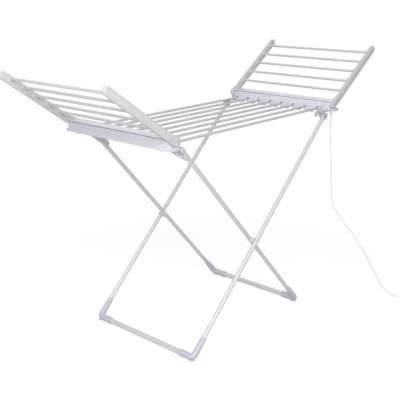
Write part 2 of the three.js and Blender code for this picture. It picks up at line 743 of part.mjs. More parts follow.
// Hinge bracket under the left housing: a gusset inside the leg, with an eye and a lip behind the open leg
function legBracket(side) {
  const way = legDirection(innerTop, innerFoot);
  const behind = new THREE.Vector2(way.y, -way.x);
  const back = (along, out) => {
    const point = innerTop.clone().addScaledVector(way, along).addScaledVector(behind, out);
    return [point.x, point.y];
  };
  const top = underside - fitGap;
  const flangeX = bracketFootInset - outerFace;
  const gusset = outline([
    [flangeX, top],
    [flangeX, top - bracketFlange],
    [-innerFace - bracketEdgeInset, top - bracketFlange],
    back(bracketTip, -bracketTipOffset),
    back(bracketTip - bracketTipWidth, -bracketTipOffset - bracketTipWidth),
    back(0, -bracketEyeRadius),
    [-innerFace, top],
  ]);
  const y1 = innerLegHalfWidth - topCapRadius - bracketSideGap;
  const y0 = y1 - bracketThickness;
  const web = side > 0 ? plate(gusset, y0, y1) : plate(gusset, -y1, -y0);
  const eye = rod(inPlane(innerTop, side * y0), inPlane(innerTop, side * y1), bracketEyeRadius, roundSides);
  const lipInside = legRadius + fitGap;
  const lipOutside = lipInside + stopLipThickness;
  const lip = outline([
    back(stopLipStart, lipInside),
    back(stopLipStart, lipOutside),
    back(stopLipStart + stopLipLength, lipOutside),
    back(stopLipStart + stopLipLength, lipInside),
  ]);
  const lipYs = [side * (y1 - fitGap), side * (innerLegHalfWidth + legRadius)];
  const boreStart = inPlane(innerTop, side * (y0 - overrun));
  const boreEnd = inPlane(innerTop, side * (y1 + overrun));
  return cut(
    join(web, eye, plate(lip, Math.min(...lipYs), Math.max(...lipYs))),
    rod(boreStart, boreEnd, hingePinRadius + fitGap),
  );
}

function hingePin(side) {
  const head = side * (innerLegHalfWidth + topCapRadius + fitGap);
  const end = side * (innerLegHalfWidth - topCapRadius - bracketSideGap - bracketThickness);
  return headedPin(innerTop, head, end, hingePinRadius);
}

// Catch on the inner face of the right housing: an arm with two teeth beside the claw, and a roof over it
function legCatch(side) {
  const root = innerFace - fitGap;
  const endX = root - catchLength;
  const roofX = clawMiddle().x - clawRadius;
  const roofLow = clawMiddle().y + clawRadius + fitGap;
  const roofTop = roofLow + catchRoofThickness;
  const top = underside + catchTopLift;
  const low = underside - catchArmDrop;
  const teeth = catchToothDrops.flatMap((drop, i) => {
    const x = endX + i * catchToothPitch;
    const toothEnd = x + catchToothLength;
    return [[x, low], [x, underside - drop], [toothEnd, underside - drop], [toothEnd, low]];
  });
  const roofCorners = [[root, roofTop], [roofX, roofTop], [roofX, top], [endX, top]];
  const profile = outline([...roofCorners, ...teeth, [root, low]]);
  const y0 = innerLegHalfWidth + legRadius + catchSideGap;
  const y1 = y0 + catchThickness;
  const arm = side > 0 ? plate(profile, y0, y1) : plate(profile, -y1, -y0);
  const roofYs = [side * (y1 - fitGap), side * housingHalf];
  return join(arm, box(roofX, root, Math.min(...roofYs), Math.max(...roofYs), roofLow, roofTop));
}

// Switch in the outer face of the right housing
const switchMiddleZ = (underside + housingWall + rackHeight) / 2;
const switchCentre = new THREE.Vector3(outerFace, -switchHalfWidth, switchMiddleZ);

function switchBox(x0, x1, halfY, halfZ) {
  const { x, y, z } = switchCentre;
  return box(x + x0, x + x1, y - halfY, y + halfY, z - halfZ, z + halfZ);
}

function switchHole() {
  return switchBox(-housingWall - overrun, overrun, switchLength / 2 + fitGap, switchHeight / 2 + fitGap);
}

function switchBody() {
  const flangeY = switchLength / 2 + switchFlange;
  const flangeZ = switchHeight / 2 + switchFlange;
  return cut(
    join(
      switchBox(-switchDepth, switchFlangeThickness / 2, switchLength / 2, switchHeight / 2),
      switchBox(fitGap, switchFlangeThickness + fitGap, flangeY, flangeZ),
    ),
    switchBox(-switchWell, switchFlangeThickness + overrun, switchLength / 2 - switchWellWall,
      switchHeight / 2 - switchWellWall),
  );
}

// Rocker with a shallow V face, lying tipped to its off side
function rocker() {
  const halfY = switchLength / 2 - switchWellWall - rockerGap;
  const halfZ = switchHeight / 2 - switchWellWall - rockerGap;
  const rise = rockerAxisDepth + switchFlangeThickness;
  const tilt = THREE.MathUtils.degToRad(rockerAngle);
  const reach = halfY - rise * Math.sin(tilt);
  const shape = new THREE.Shape();
  shape.moveTo(-rockerAxisDepth, -reach);
  shape.lineTo(rise + rockerRise / 2, -reach);
  shape.lineTo(rise, 0);
  shape.lineTo(rise + rockerRise / 2, reach);
  shape.lineTo(-rockerAxisDepth, reach);
  shape.closePath();
  const geometry = new THREE.ExtrudeGeometry(shape, { depth: 2 * halfZ, bevelEnabled: false });
  geometry.translate(0, 0, -halfZ);
  geometry.rotateZ(-tilt);
  return geometry.translate(switchCentre.x - rockerAxisDepth, switchCentre.y, switchCentre.z);
}

function terminalBlock() {
  const x = innerFace + railInsert + wireBend + wireRadius + wireDiameter * 0.75;
  const y1 = railYs[railCount - 1] - terminalInset - 2 * fitGap;
  const z0 = underside + housingWall + fitGap;
  return box(x - terminalWidth / 2, x + terminalWidth / 2, y1 - terminalLength, y1, z0, z0 + terminalHeight);
}

// Cord grip through the floor of the right housing
const cordExit = new THREE.Vector3(outerFace - cordExitInset, -cordExitHalfWidth, underside);

function atExit(dz) {
  return cordExit.clone().add(new THREE.Vector3(0, 0, dz));
}

function glandHole() {
  return rod(atExit(-overrun), atExit(housingWall + overrun), glandNeckRadius + fitGap, roundSides);
}

function cordGland() {
  const floor = housingWall + fitGap;
  return join(
    rod(atExit(-glandLength), atExit(-fitGap - glandFlange), glandTipRadius, smallSides, glandRadius),
    rod(atExit(-fitGap - glandFlange), atExit(-fitGap), glandRadius, smallSides),
    rod(atExit(-fitGap - glandFlange), atExit(floor + glandFlange), glandNeckRadius, smallSides),
    rod(atExit(floor), atExit(floor + glandFlange), glandRadius, smallSides),
  );
}

// Route of the hanging cord, from the cord grip to the coil, chosen by eye
const cordLevel = cordRadius + floorGap;
const cordRoute = [
  [480, -246.5, 787.7],
  [480, -246.5, 760],
  [480, -247, 700],
  [480.5, -249, 655],
  [481.5, -254, 600],
  [482, -259, 520],
  [482.5, -262, 450],
  [485.5, -268, 398],
  [497, -293, 350],
  [516, -332, 292],
  [534, -369, 235],
  [551, -404, 175],
  [566, -434, 115],
  [579, -460, 62],
  [590, -484, 26],
  [596, -506, 10],
  [601, -530, 3.6],
  [607, -560, cordLevel],
  [612, -590, cordLevel],
].map(([x, y, z]) => new THREE.Vector3(x, y, z));

// Coil of the spare cord: two layers, winding in and out again
function coilPoints() {
  const pitch = cordDiameter + coilGap;
  const steps = coilTurnsPerLayer * coilStepsPerTurn;
  const climb = coilStepsPerTurn / 2;
  const points = [];
  for (let i = 0; i <= 2 * steps; i += 1) {
    const turn = THREE.MathUtils.degToRad(coilStartAngle) - (2 * Math.PI * i) / coilStepsPerTurn;
    const radius = coilOuterRadius - (pitch * Math.min(i, 2 * steps - i)) / coilStepsPerTurn;
    const rise = THREE.MathUtils.smoothstep(i, steps - climb / 2, steps + climb / 2);
    points.push(new THREE.Vector3(
      coilCentre.x + radius * Math.cos(turn),
      coilCentre.y + radius * Math.sin(turn),
      cordLevel + rise * (cordDiameter + coilGap),
    ));
  }
  return points;
}

function leaveStraight(points, atEnd) {
  const last = atEnd ? points[points.length - 1] : points[0];
  const before = atEnd ? points[points.length - 2] : points[1];
  return last.clone().sub(before).setZ(0).normalize();
}

function coilTube() {
  const turns = coilPoints();
  const outWay = leaveStraight(turns, true);
  const inWay = leaveStraight(turns, false);
  const end = turns[turns.length - 1];
  const start = turns[0];
  const lead = [coilLead / 2, coilLead].map((reach) => end.clone().addScaledVector(outWay, reach));
  const intake = start.clone().addScaledVector(inWay, cordDiameter * 2);
  return [intake, ...turns, ...lead];
}

function leastSelfGap(points) {
  let least = Infinity;
  const near = coilStepsPerTurn / 2;
  for (let i = 0; i + 1 < points.length; i += 1) {
    for (let j = i + near; j + 1 < points.length; j += 1) {
      least = Math.min(least, points[i].distanceTo(points[j]));
    }
  }
  return least - cordDiameter;
}

function addCord() {
  add("cord_gland", cordGland(), white);
  const coil = coilTube();
  console.log(`least gap between the turns of the coil: ${leastSelfGap(coil).toFixed(2)} mm`);
  const curve = new THREE.CatmullRomCurve3([...cordRoute, ...joinToCoil(coil)], false, "centripetal");
  const section = new THREE.Shape();
  for (let k = 0; k < cordSides; k += 1) {
    const turn = (2 * Math.PI * k) / cordSides;
    section[k === 0 ? "moveTo" : "lineTo"](cordRadius * Math.cos(turn), cordRadius * Math.sin(turn));
  }
  section.closePath();
  const hang = new THREE.ExtrudeGeometry(section, { steps: cordSteps, extrudePath: curve });
  add("cord_hang", hang, white);
  add("cord_coil", tubeAlong(...evenTube(coil, cordRadius), coilSides), white);
  add("plug", plug(coil), white);
}

const cordSteps = 78;

// The hanging cord comes in straight to the start of the coil
function joinToCoil(coil) {
  const way = coil[0].clone().sub(coil[1]).normalize();
  const away = (reach) => coil[0].clone().addScaledVector(way, reach);
  return [away(2 * cordDiameter), away(fitGap)];
}

// Plug with three flat pins, lying on its back at the end of the coil
function plug(coil) {
  const end = coil[coil.length - 1];
  const way = end.clone().sub(coil[coil.length - 2]).setZ(0).normalize();
  const shape = outline([
    [-plugWidth / 2, plugBevel],
    [-plugWidth / 5, 0],
    [plugWidth / 5, 0],
    [plugWidth / 2, plugBevel],
    [plugWidth / 2, plugLength],
    [-plugWidth / 2, plugLength],
  ]);
  const body = new THREE.ExtrudeGeometry(shape, {
    depth: plugThickness - 2 * plugBevel,
    bevelThickness: plugBevel,
    bevelSize: plugBevel / 2,
    bevelOffset: -plugBevel / 2,
    bevelSegments: 2,
  });
  body.translate(0, 0, plugBevel + floorGap);
  const pinY = plugLength / 2 - plugPinOffset / 2;
  const pins = [-1, 1].map((side) =>
    pin(side * plugPinSpacing / 2, pinY, plugPinWidth, plugPinThickness, plugPinLength));
  pins.push(pin(0, pinY + plugPinSpacing, plugPinThickness, plugEarthPinWidth, plugEarthPinLength));
  const whole = join(body, ...pins);
  whole.rotateZ(Math.atan2(way.y, way.x) - Math.PI / 2);
  const entry = end.clone().addScaledVector(way, fitGap);
  return whole.translate(entry.x, entry.y, 0);
}

function pin(x, y, width, depth, length) {
  const top = plugThickness + floorGap;
  return box(x - width / 2, x + width / 2, y - depth / 2, y + depth / 2, top - overrun, top + length);
}

function addSwitch() {
  add("switch_body", switchBody(), black);
  add("switch_rocker", rocker(), black);
  add("terminal_block", terminalBlock(), white);
}

addRack();
addWing("right", false);
addWing("left", true);
addLegFrames();
addSwitch();
addCord();

export default airer;
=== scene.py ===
"""Dresses the winged heated clothes airer: finer pieces and finishes, camera, light and floor."""

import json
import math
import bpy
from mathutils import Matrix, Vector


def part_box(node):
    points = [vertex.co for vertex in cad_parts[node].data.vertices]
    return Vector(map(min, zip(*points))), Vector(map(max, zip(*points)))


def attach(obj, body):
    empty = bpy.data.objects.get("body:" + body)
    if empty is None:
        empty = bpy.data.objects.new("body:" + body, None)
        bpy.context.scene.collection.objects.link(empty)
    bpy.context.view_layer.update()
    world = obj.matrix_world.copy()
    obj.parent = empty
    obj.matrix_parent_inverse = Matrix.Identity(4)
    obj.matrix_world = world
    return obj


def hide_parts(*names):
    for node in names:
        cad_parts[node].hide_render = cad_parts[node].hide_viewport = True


bl_info = {
    "name": "Heated clothes airer",
    "version": (1, 0, 0),
    "blender": (4, 5, 0),
    "location": "3D View > Sidebar > Airer",
    "description": "Builds the pieces, finishes and stage of a winged heated clothes airer",
    "category": "Add Mesh",
}

import bmesh
import bpy
from mathutils import Matrix, Vector

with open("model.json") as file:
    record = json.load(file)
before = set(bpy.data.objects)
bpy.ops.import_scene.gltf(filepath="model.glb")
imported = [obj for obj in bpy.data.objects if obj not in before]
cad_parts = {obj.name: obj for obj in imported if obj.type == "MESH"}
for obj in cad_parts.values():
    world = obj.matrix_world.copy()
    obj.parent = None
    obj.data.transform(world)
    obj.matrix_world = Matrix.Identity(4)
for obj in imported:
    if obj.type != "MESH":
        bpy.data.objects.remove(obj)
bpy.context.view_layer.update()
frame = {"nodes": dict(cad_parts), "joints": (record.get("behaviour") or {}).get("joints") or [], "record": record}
JOINTS = {joint["name"]: joint for joint in frame["joints"]}
X, Y, Z = Vector((1, 0, 0)), Vector((0, 1, 0)), Vector((0, 0, 1))
SIDES = (("near", -1), ("far", 1))
WINGS = (("right", 1), ("left", -1))

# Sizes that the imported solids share, in metres
TUBE_WALL = 0.0011
LEG_RADIUS = 0.008
FOOT_RADIUS = 0.010
BAR_RADIUS = 0.005
FIT_GAP = 0.0003
FLOOR_GAP = 0.0001
ELBOW_LEG_REACH = 0.083
ELBOW_FOOT_REACH = 0.066
ELBOW_BEND = 0.017
ELBOW_TUBE_START = 0.020
ELBOW_STEPS = 6
ELBOW_BEND_RADIUS = 0.0123
ELBOW_LEG_RADIUS = 0.0105
ELBOW_FOOT_RADIUS = 0.0129
COVER_THICKNESS = 0.0035
GROOVE_HEIGHT = 0.003
ARM_TAPER = 0.034
ARM_DROP = 0.004
ARM_DEPTH = 0.030
ARM_EYE_RADIUS = 0.0175
BOSS_RADIUS = 0.0085
BOSS_HEIGHT = 0.0045
STUB_RECESS_RADIUS = 0.00885
STUB_RECESS_DEPTH = 0.0035

# Finer sizes of the dressed pieces, in metres
TUBE_EDGE = 0.0003
ELBOW_EDGE = 0.0006
SWITCH_EDGE = 0.0004
ROCKER_EDGE = 0.0005
# Set-back and thickness of the dark strip in each cover groove, painted shade for the joint's shadow
SHADE_STRIP_SETBACK = 0.0007
SHADE_STRIP_THICKNESS = 0.0007
BOSS_SINK = 0.0008
BOSS_FLARE = 0.0006
BOSS_FLARE_END = 0.0012
LEG_CAP_RISE = 0.0118
LEG_CAP_LIP = 0.0003
RIVET_RADIUS = 0.003
RIVET_HEAD_RADIUS = 0.006
PIN_CHAMFER = 0.0004
SCREW_PLACES = (-0.13, 0.0, 0.13, 0.2)
SCREW_SLOT = (0.0014, 0.0003)
SCREW_SLOT_FLOOR = 0.0006

# How far the cutters of the painted-shade groove strip and of the sockets pass what they cut, and how tall the
# other two are, in metres
SHADE_STRIP_CUT = 0.001
SOCKET_CUT = 0.004
RECESS_CUT = 0.01
SCREW_CUT = 0.003

# Steps of curves that the round steps don't set, and the angle that still shades smooth
SMOOTH_ANGLE = math.radians(38)
ARC_STEPS = 24
ARM_EDGE_STEPS = 6
BEND_STEPS = 12
SMALL_STEPS = 32
SCREW_STEPS = 24
SWEEP_RESOLUTION = 11

# Half profiles of small round pieces, as pairs of distance along the axis and radius
PIVOT_CAP_HEIGHT = 0.0008
PIVOT_CAP = ((0, 0), (0, 0.0086), (0.0004, 0.0086), (0.0007, 0.0082), (PIVOT_CAP_HEIGHT, 0.0075),
             (0.00075, 0.0045), (0.0004, 0.0041), (0.0004, 0))
FLOOR_PAD = ((0, 0), (0, 0.0108), (0.0008, 0.0118), (0.004, 0.0118), (0.0052, 0.0104), (0.0052, 0))
LEG_CAP = ((0, 0), (0, 0.0062), (0.0006, 0.0080), (0.002, 0.0091), (0.0032, 0.0094), (0.0192, 0.0094),
           (0.0198, 0.0090))
LEG_CAP_SOCKET = (0.0198, 0.0195, 0.0025)
SCREW_HEAD = ((-0.002, 0), (-0.002, 0.0014), (0, 0.0014), (0, 0.003), (0.0005, 0.003), (0.0011, 0.0025),
              (0.0014, 0.0016), (0.0015, 0))

# Domed head of a rivet, as pairs of distance and share of the head's radius
RIVET_DOME = ((0, 0), (0.0002, 0.55), (0.0007, 0.87), (0.0012, 1), (0.0016, 1))

# Route of the hanging cord from its grip down to the coil
CORD_ROUTE = (
    (0.4800, -0.2465, 0.7877), (0.4800, -0.2465, 0.7600), (0.4800, -0.2470, 0.7000),
    (0.4805, -0.2490, 0.6550), (0.4815, -0.2540, 0.6000), (0.4820, -0.2590, 0.5200),
    (0.4825, -0.2620, 0.4500), (0.4855, -0.2680, 0.3980), (0.4970, -0.2930, 0.3500),
    (0.5160, -0.3320, 0.2920), (0.5340, -0.3690, 0.2350), (0.5510, -0.4040, 0.1750),
    (0.5660, -0.4340, 0.1150), (0.5790, -0.4600, 0.0620), (0.5900, -0.4840, 0.0260),
    (0.5960, -0.5060, 0.0100), (0.6010, -0.5300, 0.0036), (0.6070, -0.5600, 0.00285),
    (0.6120, -0.5900, 0.00285),
)
COIL_CENTRE = Vector((0.582, -0.672, 0))
COIL_RADIUS = 0.037
COIL_GAP = 0.0007
COIL_TURNS = 2
COIL_STEPS = 24
COIL_START = math.radians(10)
COIL_INTAKE_DIAMETERS = 2
COIL_LEAD = 0.034
TIE_WIDTH = 0.006
TIE_THICKNESS = 0.0003
TIE_GAP = 0.0001
TIE_CORNER_SHARE = 0.4

# Strain relief: its collar as pairs of distance and radius, its ribs with their ends as shares of the
# pitch, and its tip as pairs of distance back from the end and radius
RELIEF_GAP = 0.00005
RELIEF_COLLAR = ((-0.0048, 0.0045), (-0.0028, 0.0045), (-0.0028, 0.0036), (0.0003, 0.0036), (0.0003, 0.0045),
                 (0.0018, 0.0045), (0.0024, 0.0041))
RELIEF_RIBS = 6
RELIEF_RIB_START = 0.0028
RELIEF_PLAIN_LENGTH = 0.0055
RELIEF_RIB_RADIUS = 0.0041
RELIEF_RIB_TAPER = 0.00016
RELIEF_RIB_END = 0.62
RELIEF_GROOVE_START = 0.68
RELIEF_GROOVE_END = 0.94
RELIEF_GROOVE_WALL = 0.0004
RELIEF_TIP = ((0.0024, 0.00325), (0.0006, 0.0032))
RELIEF_LIP = 0.0001

# Plug, lying on its back with its pins up, and its pins as middle x, middle y, width, depth and height
PLUG_HALF_WIDTH = 0.023
PLUG_LENGTH = 0.044
PLUG_HEIGHT = 0.0221
PLUG_ENTRY_SHARE = 0.72
PLUG_ENTRY_HEIGHT = 0.0062
PLUG_CORNER = 0.007
PLUG_EDGE = 0.0022
PLUG_RINGS = 6
PLUG_RING_PITCH = 0.0034
PLUG_RING_TAPER = 0.0005
PLUG_RING_START = 0.0008
PLUG_RING_BACK = (-0.001, 0.0062)
PLUG_RING_FRONT = (0.0022, 0.0060)
LIVE_PIN_X = 0.011
PLUG_PINS = ((-LIVE_PIN_X, 0.0165, 0.0064, 0.004, 0.0175), (LIVE_PIN_X, 0.0165, 0.0064, 0.004, 0.0175),
             (0, 0.0385, 0.004, 0.008, 0.0225))
PIN_ROOT = 0.021
PIN_EDGE = 0.0007
SLEEVE_HALF_WIDTH = 0.0033
SLEEVE_LOW = (0.0144, 0.0215)
SLEEVE_HIGH = (0.0186, 0.031)
SLEEVE_EDGE = 0.0005
FUSE_COVER = ((-0.0045, 0.022, 0.0219), (0.0045, 0.0305, 0.0224))
FUSE_COVER_EDGE = 0.0002

# White floor that still shows the soft shadow close round the feet
FLOOR_SIZE = 30
FLOOR_SHADE = 0.50
FLOOR_LIFT = 0.62
FLOOR_BOUNCE = 0.55
FLOOR_FADE_START = 0.6
FLOOR_FADE_END = 1.5

# Soft light: the world's fill, and each lamp's name, place, aim, size and power
FILL_COLOUR = (0.97, 0.98, 1.0, 1)
FILL_STRENGTH = 0.5
LAMPS = (
    ("key", Vector((-2.4, -2.2, 2.1)), Vector((-0.2, 0, 0.6)), 1.8, 90),
    ("side", Vector((-3.0, -0.5, 1.3)), Vector((-0.5, 0, 0.8)), 1.2, 8),
    ("top", Vector((-0.2, 0.8, 3.4)), Vector((0, 0, 0.5)), 2.2, 7),
)

# Camera fitted to the photograph
CAMERA_PLACE = Vector((-2.1514, -1.9640, 1.3665))
CAMERA_YAW = math.radians(-46.8464)
CAMERA_PITCH = math.radians(-16.6817)
CAMERA_ROLL = math.radians(-0.7403)
CAMERA_FOCUS = 748.63
CAMERA_CENTRE = (201.14, 195.12)
CAMERA_SENSOR = 36
CAMERA_CLIP = (0.05, 200)
PICTURE = 400


class AirerSizes(bpy.types.PropertyGroup):
    """Sizes of the finer shapes"""

    round_steps: bpy.props.IntProperty(
        name="Round steps", description="Sides of every round tube", default=48, min=12, max=96)
    plastic_edge: bpy.props.FloatProperty(
        name="Plastic edge", description="Rounding of the edges of moulded pieces",
        default=0.0006, min=0.0001, max=0.002, precision=4, unit="LENGTH")
    arm_edge: bpy.props.FloatProperty(
        name="Arm edge", description="Rounding of the long edges of the wing arms",
        default=0.005, min=0.001, max=0.007, precision=4, unit="LENGTH")
    cord_diameter: bpy.props.FloatProperty(
        name="Cord diameter", description="Diameter of the mains cord",
        default=0.0055, min=0.004, max=0.009, precision=4, unit="LENGTH")
    relief_length: bpy.props.FloatProperty(
        name="Strain relief", description="Length of the tapered sleeve on the cord",
        default=0.025, min=0.02, max=0.06, precision=3, unit="LENGTH")


class AirerColours(bpy.types.PropertyGroup):
    """Colours of the finishes"""

    housing: bpy.props.FloatVectorProperty(
        name="Housing plastic", description="Lilac grey of the housings, brackets, spacers and caps",
        subtype="COLOR", size=3, default=(0.62, 0.61, 0.67), min=0, max=1)
    # Painted light: the covers' lilac grey is made paler to stand for the light on their tops
    cover: bpy.props.FloatVectorProperty(
        name="Cover plastic painted paler", description="Lilac grey of the housing covers, glossier and painted paler as light on their tops",
        subtype="COLOR", size=3, default=(0.74, 0.73, 0.78), min=0, max=1)
    arm: bpy.props.FloatVectorProperty(
        name="Arm plastic", description="Paler grey of the wing arms",
        subtype="COLOR", size=3, default=(0.56, 0.56, 0.575), min=0, max=1)
    # Painted shade: the claws and catches get a darker copy of the housing grey for the shade under the housings
    catch: bpy.props.FloatVectorProperty(
        name="Catch plastic painted darker", description="Grey of the claws and catches, painted darker as the shade under the housings",
        subtype="COLOR", size=3, default=(0.44, 0.445, 0.49), min=0, max=1)
    elbow: bpy.props.FloatVectorProperty(
        name="Elbow plastic", description="Blue grey of the corner elbows",
        subtype="COLOR", size=3, default=(0.52, 0.525, 0.58), min=0, max=1)
    leg: bpy.props.FloatVectorProperty(
        name="Leg metal", description="Anodised aluminium of the legs and foot tubes",
        subtype="COLOR", size=3, default=(0.60, 0.60, 0.61), min=0, max=1)
    bar: bpy.props.FloatVectorProperty(
        name="Bar metal", description="Coated aluminium of the heated bars",
        subtype="COLOR", size=3, default=(0.53, 0.54, 0.56), min=0, max=1)
    wing_bar: bpy.props.FloatVectorProperty(
        name="Wing bar metal", description="Paler coating of the heated bars of the wings",
        subtype="COLOR", size=3, default=(0.58, 0.59, 0.60), min=0, max=1)
    cord: bpy.props.FloatVectorProperty(
        name="Cord jacket", description="White of the cord and the plug",
        subtype="COLOR", size=3, default=(0.84, 0.84, 0.84), min=0, max=1)


# Shader nodes
VECTOR, COLOUR, FLOAT = "NodeSocketVector", "NodeSocketColor", "NodeSocketFloat"
WORN_COLOUR = (0.85, 0.85, 0.87, 1.0)
# Painted shade colour for the inner corners of mouldings
PAINTED_CORNER_SHADE = (0.10, 0.10, 0.12, 1.0)
GRAIN_DEPTH = 0.00008
STREAK_DEPTH = 0.00004


def fill_sockets(tree, node, links):
    """Links or sets each named input of a node"""
    for label, value in links:
        socket = node.inputs[label]
        if isinstance(value, bpy.types.NodeSocket):
            tree.links.new(value, socket)
        else:
            socket.default_value = value


def add_node(tree, kind, links=(), **values):
    node = tree.nodes.new(kind)
    for name, value in values.items():
        setattr(node, name, value)
    fill_sockets(tree, node, links)
    return node


def maths(tree, operation, *values):
    return add_node(tree, "ShaderNodeMath", enumerate(values), operation=operation).outputs[0]


def noise(tree, vector, scale, detail):
    links = [("Vector", vector), ("Scale", scale), ("Detail", detail)]
    return add_node(tree, "ShaderNodeTexNoise", links).outputs["Fac"]


def remap(tree, value, low, high, new_low=0.0, new_high=1.0):
    links = [("Value", value), ("From Min", low), ("From Max", high), ("To Min", new_low),
             ("To Max", new_high)]
    return add_node(tree, "ShaderNodeMapRange", links).outputs[0]


def mixed(tree, factor, first, second, kind="RGBA"):
    links = [("Factor", factor), ("A", first), ("B", second)]
    return add_node(tree, "ShaderNodeMix", links, data_type=kind).outputs["Result"]


def scaled(tree, colour, factor):
    links = [(0, colour), ("Scale", factor)]
    return add_node(tree, "ShaderNodeVectorMath", links, operation="SCALE").outputs["Vector"]


def bumped(tree, height, strength, distance):
    links = [("Height", height), ("Strength", strength), ("Distance", distance)]
    return add_node(tree, "ShaderNodeBump", links).outputs["Normal"]


def pointiness(tree):
    return add_node(tree, "ShaderNodeNewGeometry").outputs["Pointiness"]


# What each shader group puts out, from the values that it is given
def grain_nodes(group, given):
    """Fine spark-eroded grain of a moulded surface"""
    fine = noise(group, given["Vector"], given["Scale"], 3.0)
    lower = maths(group, "MULTIPLY", given["Scale"], 0.12)
    coarse = noise(group, given["Vector"], lower, 1.0)
    return [("Height", mixed(group, given["Coarse Share"], fine, coarse, kind="FLOAT"))]


def drift_nodes(group, given):
    """Slow drift of tone and gloss over a surface"""
    cloud = noise(group, given["Vector"], given["Scale"], 4.0)
    centred = maths(group, "SUBTRACT", cloud, 0.5)
    tone = maths(group, "MULTIPLY_ADD", centred, given["Amount"], 1.0)
    colour = scaled(group, given["Colour"], tone)
    gloss = maths(group, "MULTIPLY_ADD", centred, given["Roughness Amount"], given["Roughness"])
    return [("Colour", colour), ("Roughness", gloss)]


def wear_nodes(group, given):
    """Paler rubbed edges"""
    edge = remap(group, pointiness(group), 0.52, 0.62)
    broken = noise(group, given["Vector"], 60.0, 5.0)
    patchy = remap(group, broken, 0.4, 0.65)
    where = maths(group, "MULTIPLY", edge, patchy)
    mask = maths(group, "MULTIPLY", where, given["Amount"])
    return [("Colour", mixed(group, mask, given["Colour"], WORN_COLOUR))]


def painted_corner_shade_nodes(group, given):
    """Painted shade: darker inner corners, where a moulding lies in its own shadow"""
    # Low pointiness marks concave corners; they take the painted shade colour
    inner = remap(group, pointiness(group), 0.495, 0.44)
    mask = maths(group, "MULTIPLY", inner, given["Amount"])
    return [("Colour", mixed(group, mask, given["Colour"], PAINTED_CORNER_SHADE))]


def streak_nodes(group, given):
    """Fine lines drawn along a tube, with the tube's own axis as X of the vector"""
    parts = add_node(group, "ShaderNodeSeparateXYZ", [(0, given["Vector"])]).outputs
    long = maths(group, "MULTIPLY", parts["X"], given["Stretch"])
    squeezed = add_node(group, "ShaderNodeCombineXYZ", [("X", long), ("Y", parts["Y"]), ("Z", parts["Z"])])
    return [("Height", noise(group, squeezed.outputs[0], given["Scale"], 2.0))]


# Shader groups: what fills each, its inputs with their defaults, and its outputs
GROUPS = {
    "Moulded grain": (
        grain_nodes, [("Vector", VECTOR, None), ("Scale", FLOAT, 900.0), ("Coarse Share", FLOAT, 0.3)],
        [("Height", FLOAT)]),
    "Tone drift": (
        drift_nodes, [("Vector", VECTOR, None), ("Colour", COLOUR, None), ("Scale", FLOAT, 14.0),
                      ("Amount", FLOAT, 0.05), ("Roughness", FLOAT, 0.4), ("Roughness Amount", FLOAT, 0.1)],
        [("Colour", COLOUR), ("Roughness", FLOAT)]),
    "Edge wear": (
        wear_nodes, [("Vector", VECTOR, None), ("Colour", COLOUR, None), ("Amount", FLOAT, 0.3)],
        [("Colour", COLOUR)]),
    # Painted shade in concave corners
    "Painted corner shade": (
        painted_corner_shade_nodes, [("Colour", COLOUR, None), ("Amount", FLOAT, 0.5)], [("Colour", COLOUR)]),
    "Drawn streaks": (
        streak_nodes, [("Vector", VECTOR, None), ("Scale", FLOAT, 1400.0), ("Stretch", FLOAT, 0.02)],
        [("Height", FLOAT)]),
}


def build_group(name):
    fill, inputs, outputs = GROUPS[name]
    group = bpy.data.node_groups.new(name, "ShaderNodeTree")
    for label, kind, value in inputs:
        socket = group.interface.new_socket(label, in_out="INPUT", socket_type=kind)
        if value is not None:
            socket.default_value = value
    for label, kind in outputs:
        group.interface.new_socket(label, in_out="OUTPUT", socket_type=kind)
    start = group.nodes.new("NodeGroupInput")
    end = group.nodes.new("NodeGroupOutput")
    fill_sockets(group, end, fill(group, start.outputs))


def grouped(tree, name, links):
    """Outputs of a shader group, built once and placed in each material with its own values"""
    if name not in bpy.data.node_groups:
        build_group(name)
    return add_node(tree, "ShaderNodeGroup", links, node_tree=bpy.data.node_groups[name]).outputs


# Finishes
def empty_tree(owner, output):
    """Node tree of a material or the world with nothing but its output node"""
    owner.use_nodes = True
    owner.node_tree.nodes.clear()
    return owner.node_tree, owner.node_tree.nodes.new(output)


def new_finish(name):
    material = bpy.data.materials.new(name)
    tree, out = empty_tree(material, "ShaderNodeOutputMaterial")
    shader = tree.nodes.new("ShaderNodeBsdfPrincipled")
    tree.links.new(shader.outputs[0], out.inputs["Surface"])
    place = add_node(tree, "ShaderNodeTexCoord")
    return material, tree, shader, place.outputs["Object"]


def moulded(name, colour, roughness=0.42, grain=0.5, wear=0.3, corner_shade=0.0):
    """Moulded plastic: fine grain, slow drift of tone, rubbed edges and painted shade in its inner corners"""
    if name in bpy.data.materials:
        return bpy.data.materials[name]
    material, tree, shader, place = new_finish(name)
    drift = grouped(tree, "Tone drift", [
        ("Vector", place), ("Colour", (*colour, 1.0)), ("Scale", 14.0), ("Amount", 0.06),
        ("Roughness", roughness), ("Roughness Amount", 0.16)])
    rubbed = grouped(tree, "Edge wear", [("Vector", place), ("Colour", drift["Colour"]), ("Amount", wear)])
    # Painted shade in the concave corners
    shaded = grouped(tree, "Painted corner shade", [("Colour", rubbed["Colour"]), ("Amount", corner_shade)])
    grained = grouped(tree, "Moulded grain", [("Vector", place), ("Scale", 1300.0)])
    fill_sockets(tree, shader, [
        ("Base Color", shaded["Colour"]), ("Roughness", drift["Roughness"]),
        ("Normal", bumped(tree, grained["Height"], grain, GRAIN_DEPTH))])
    return material


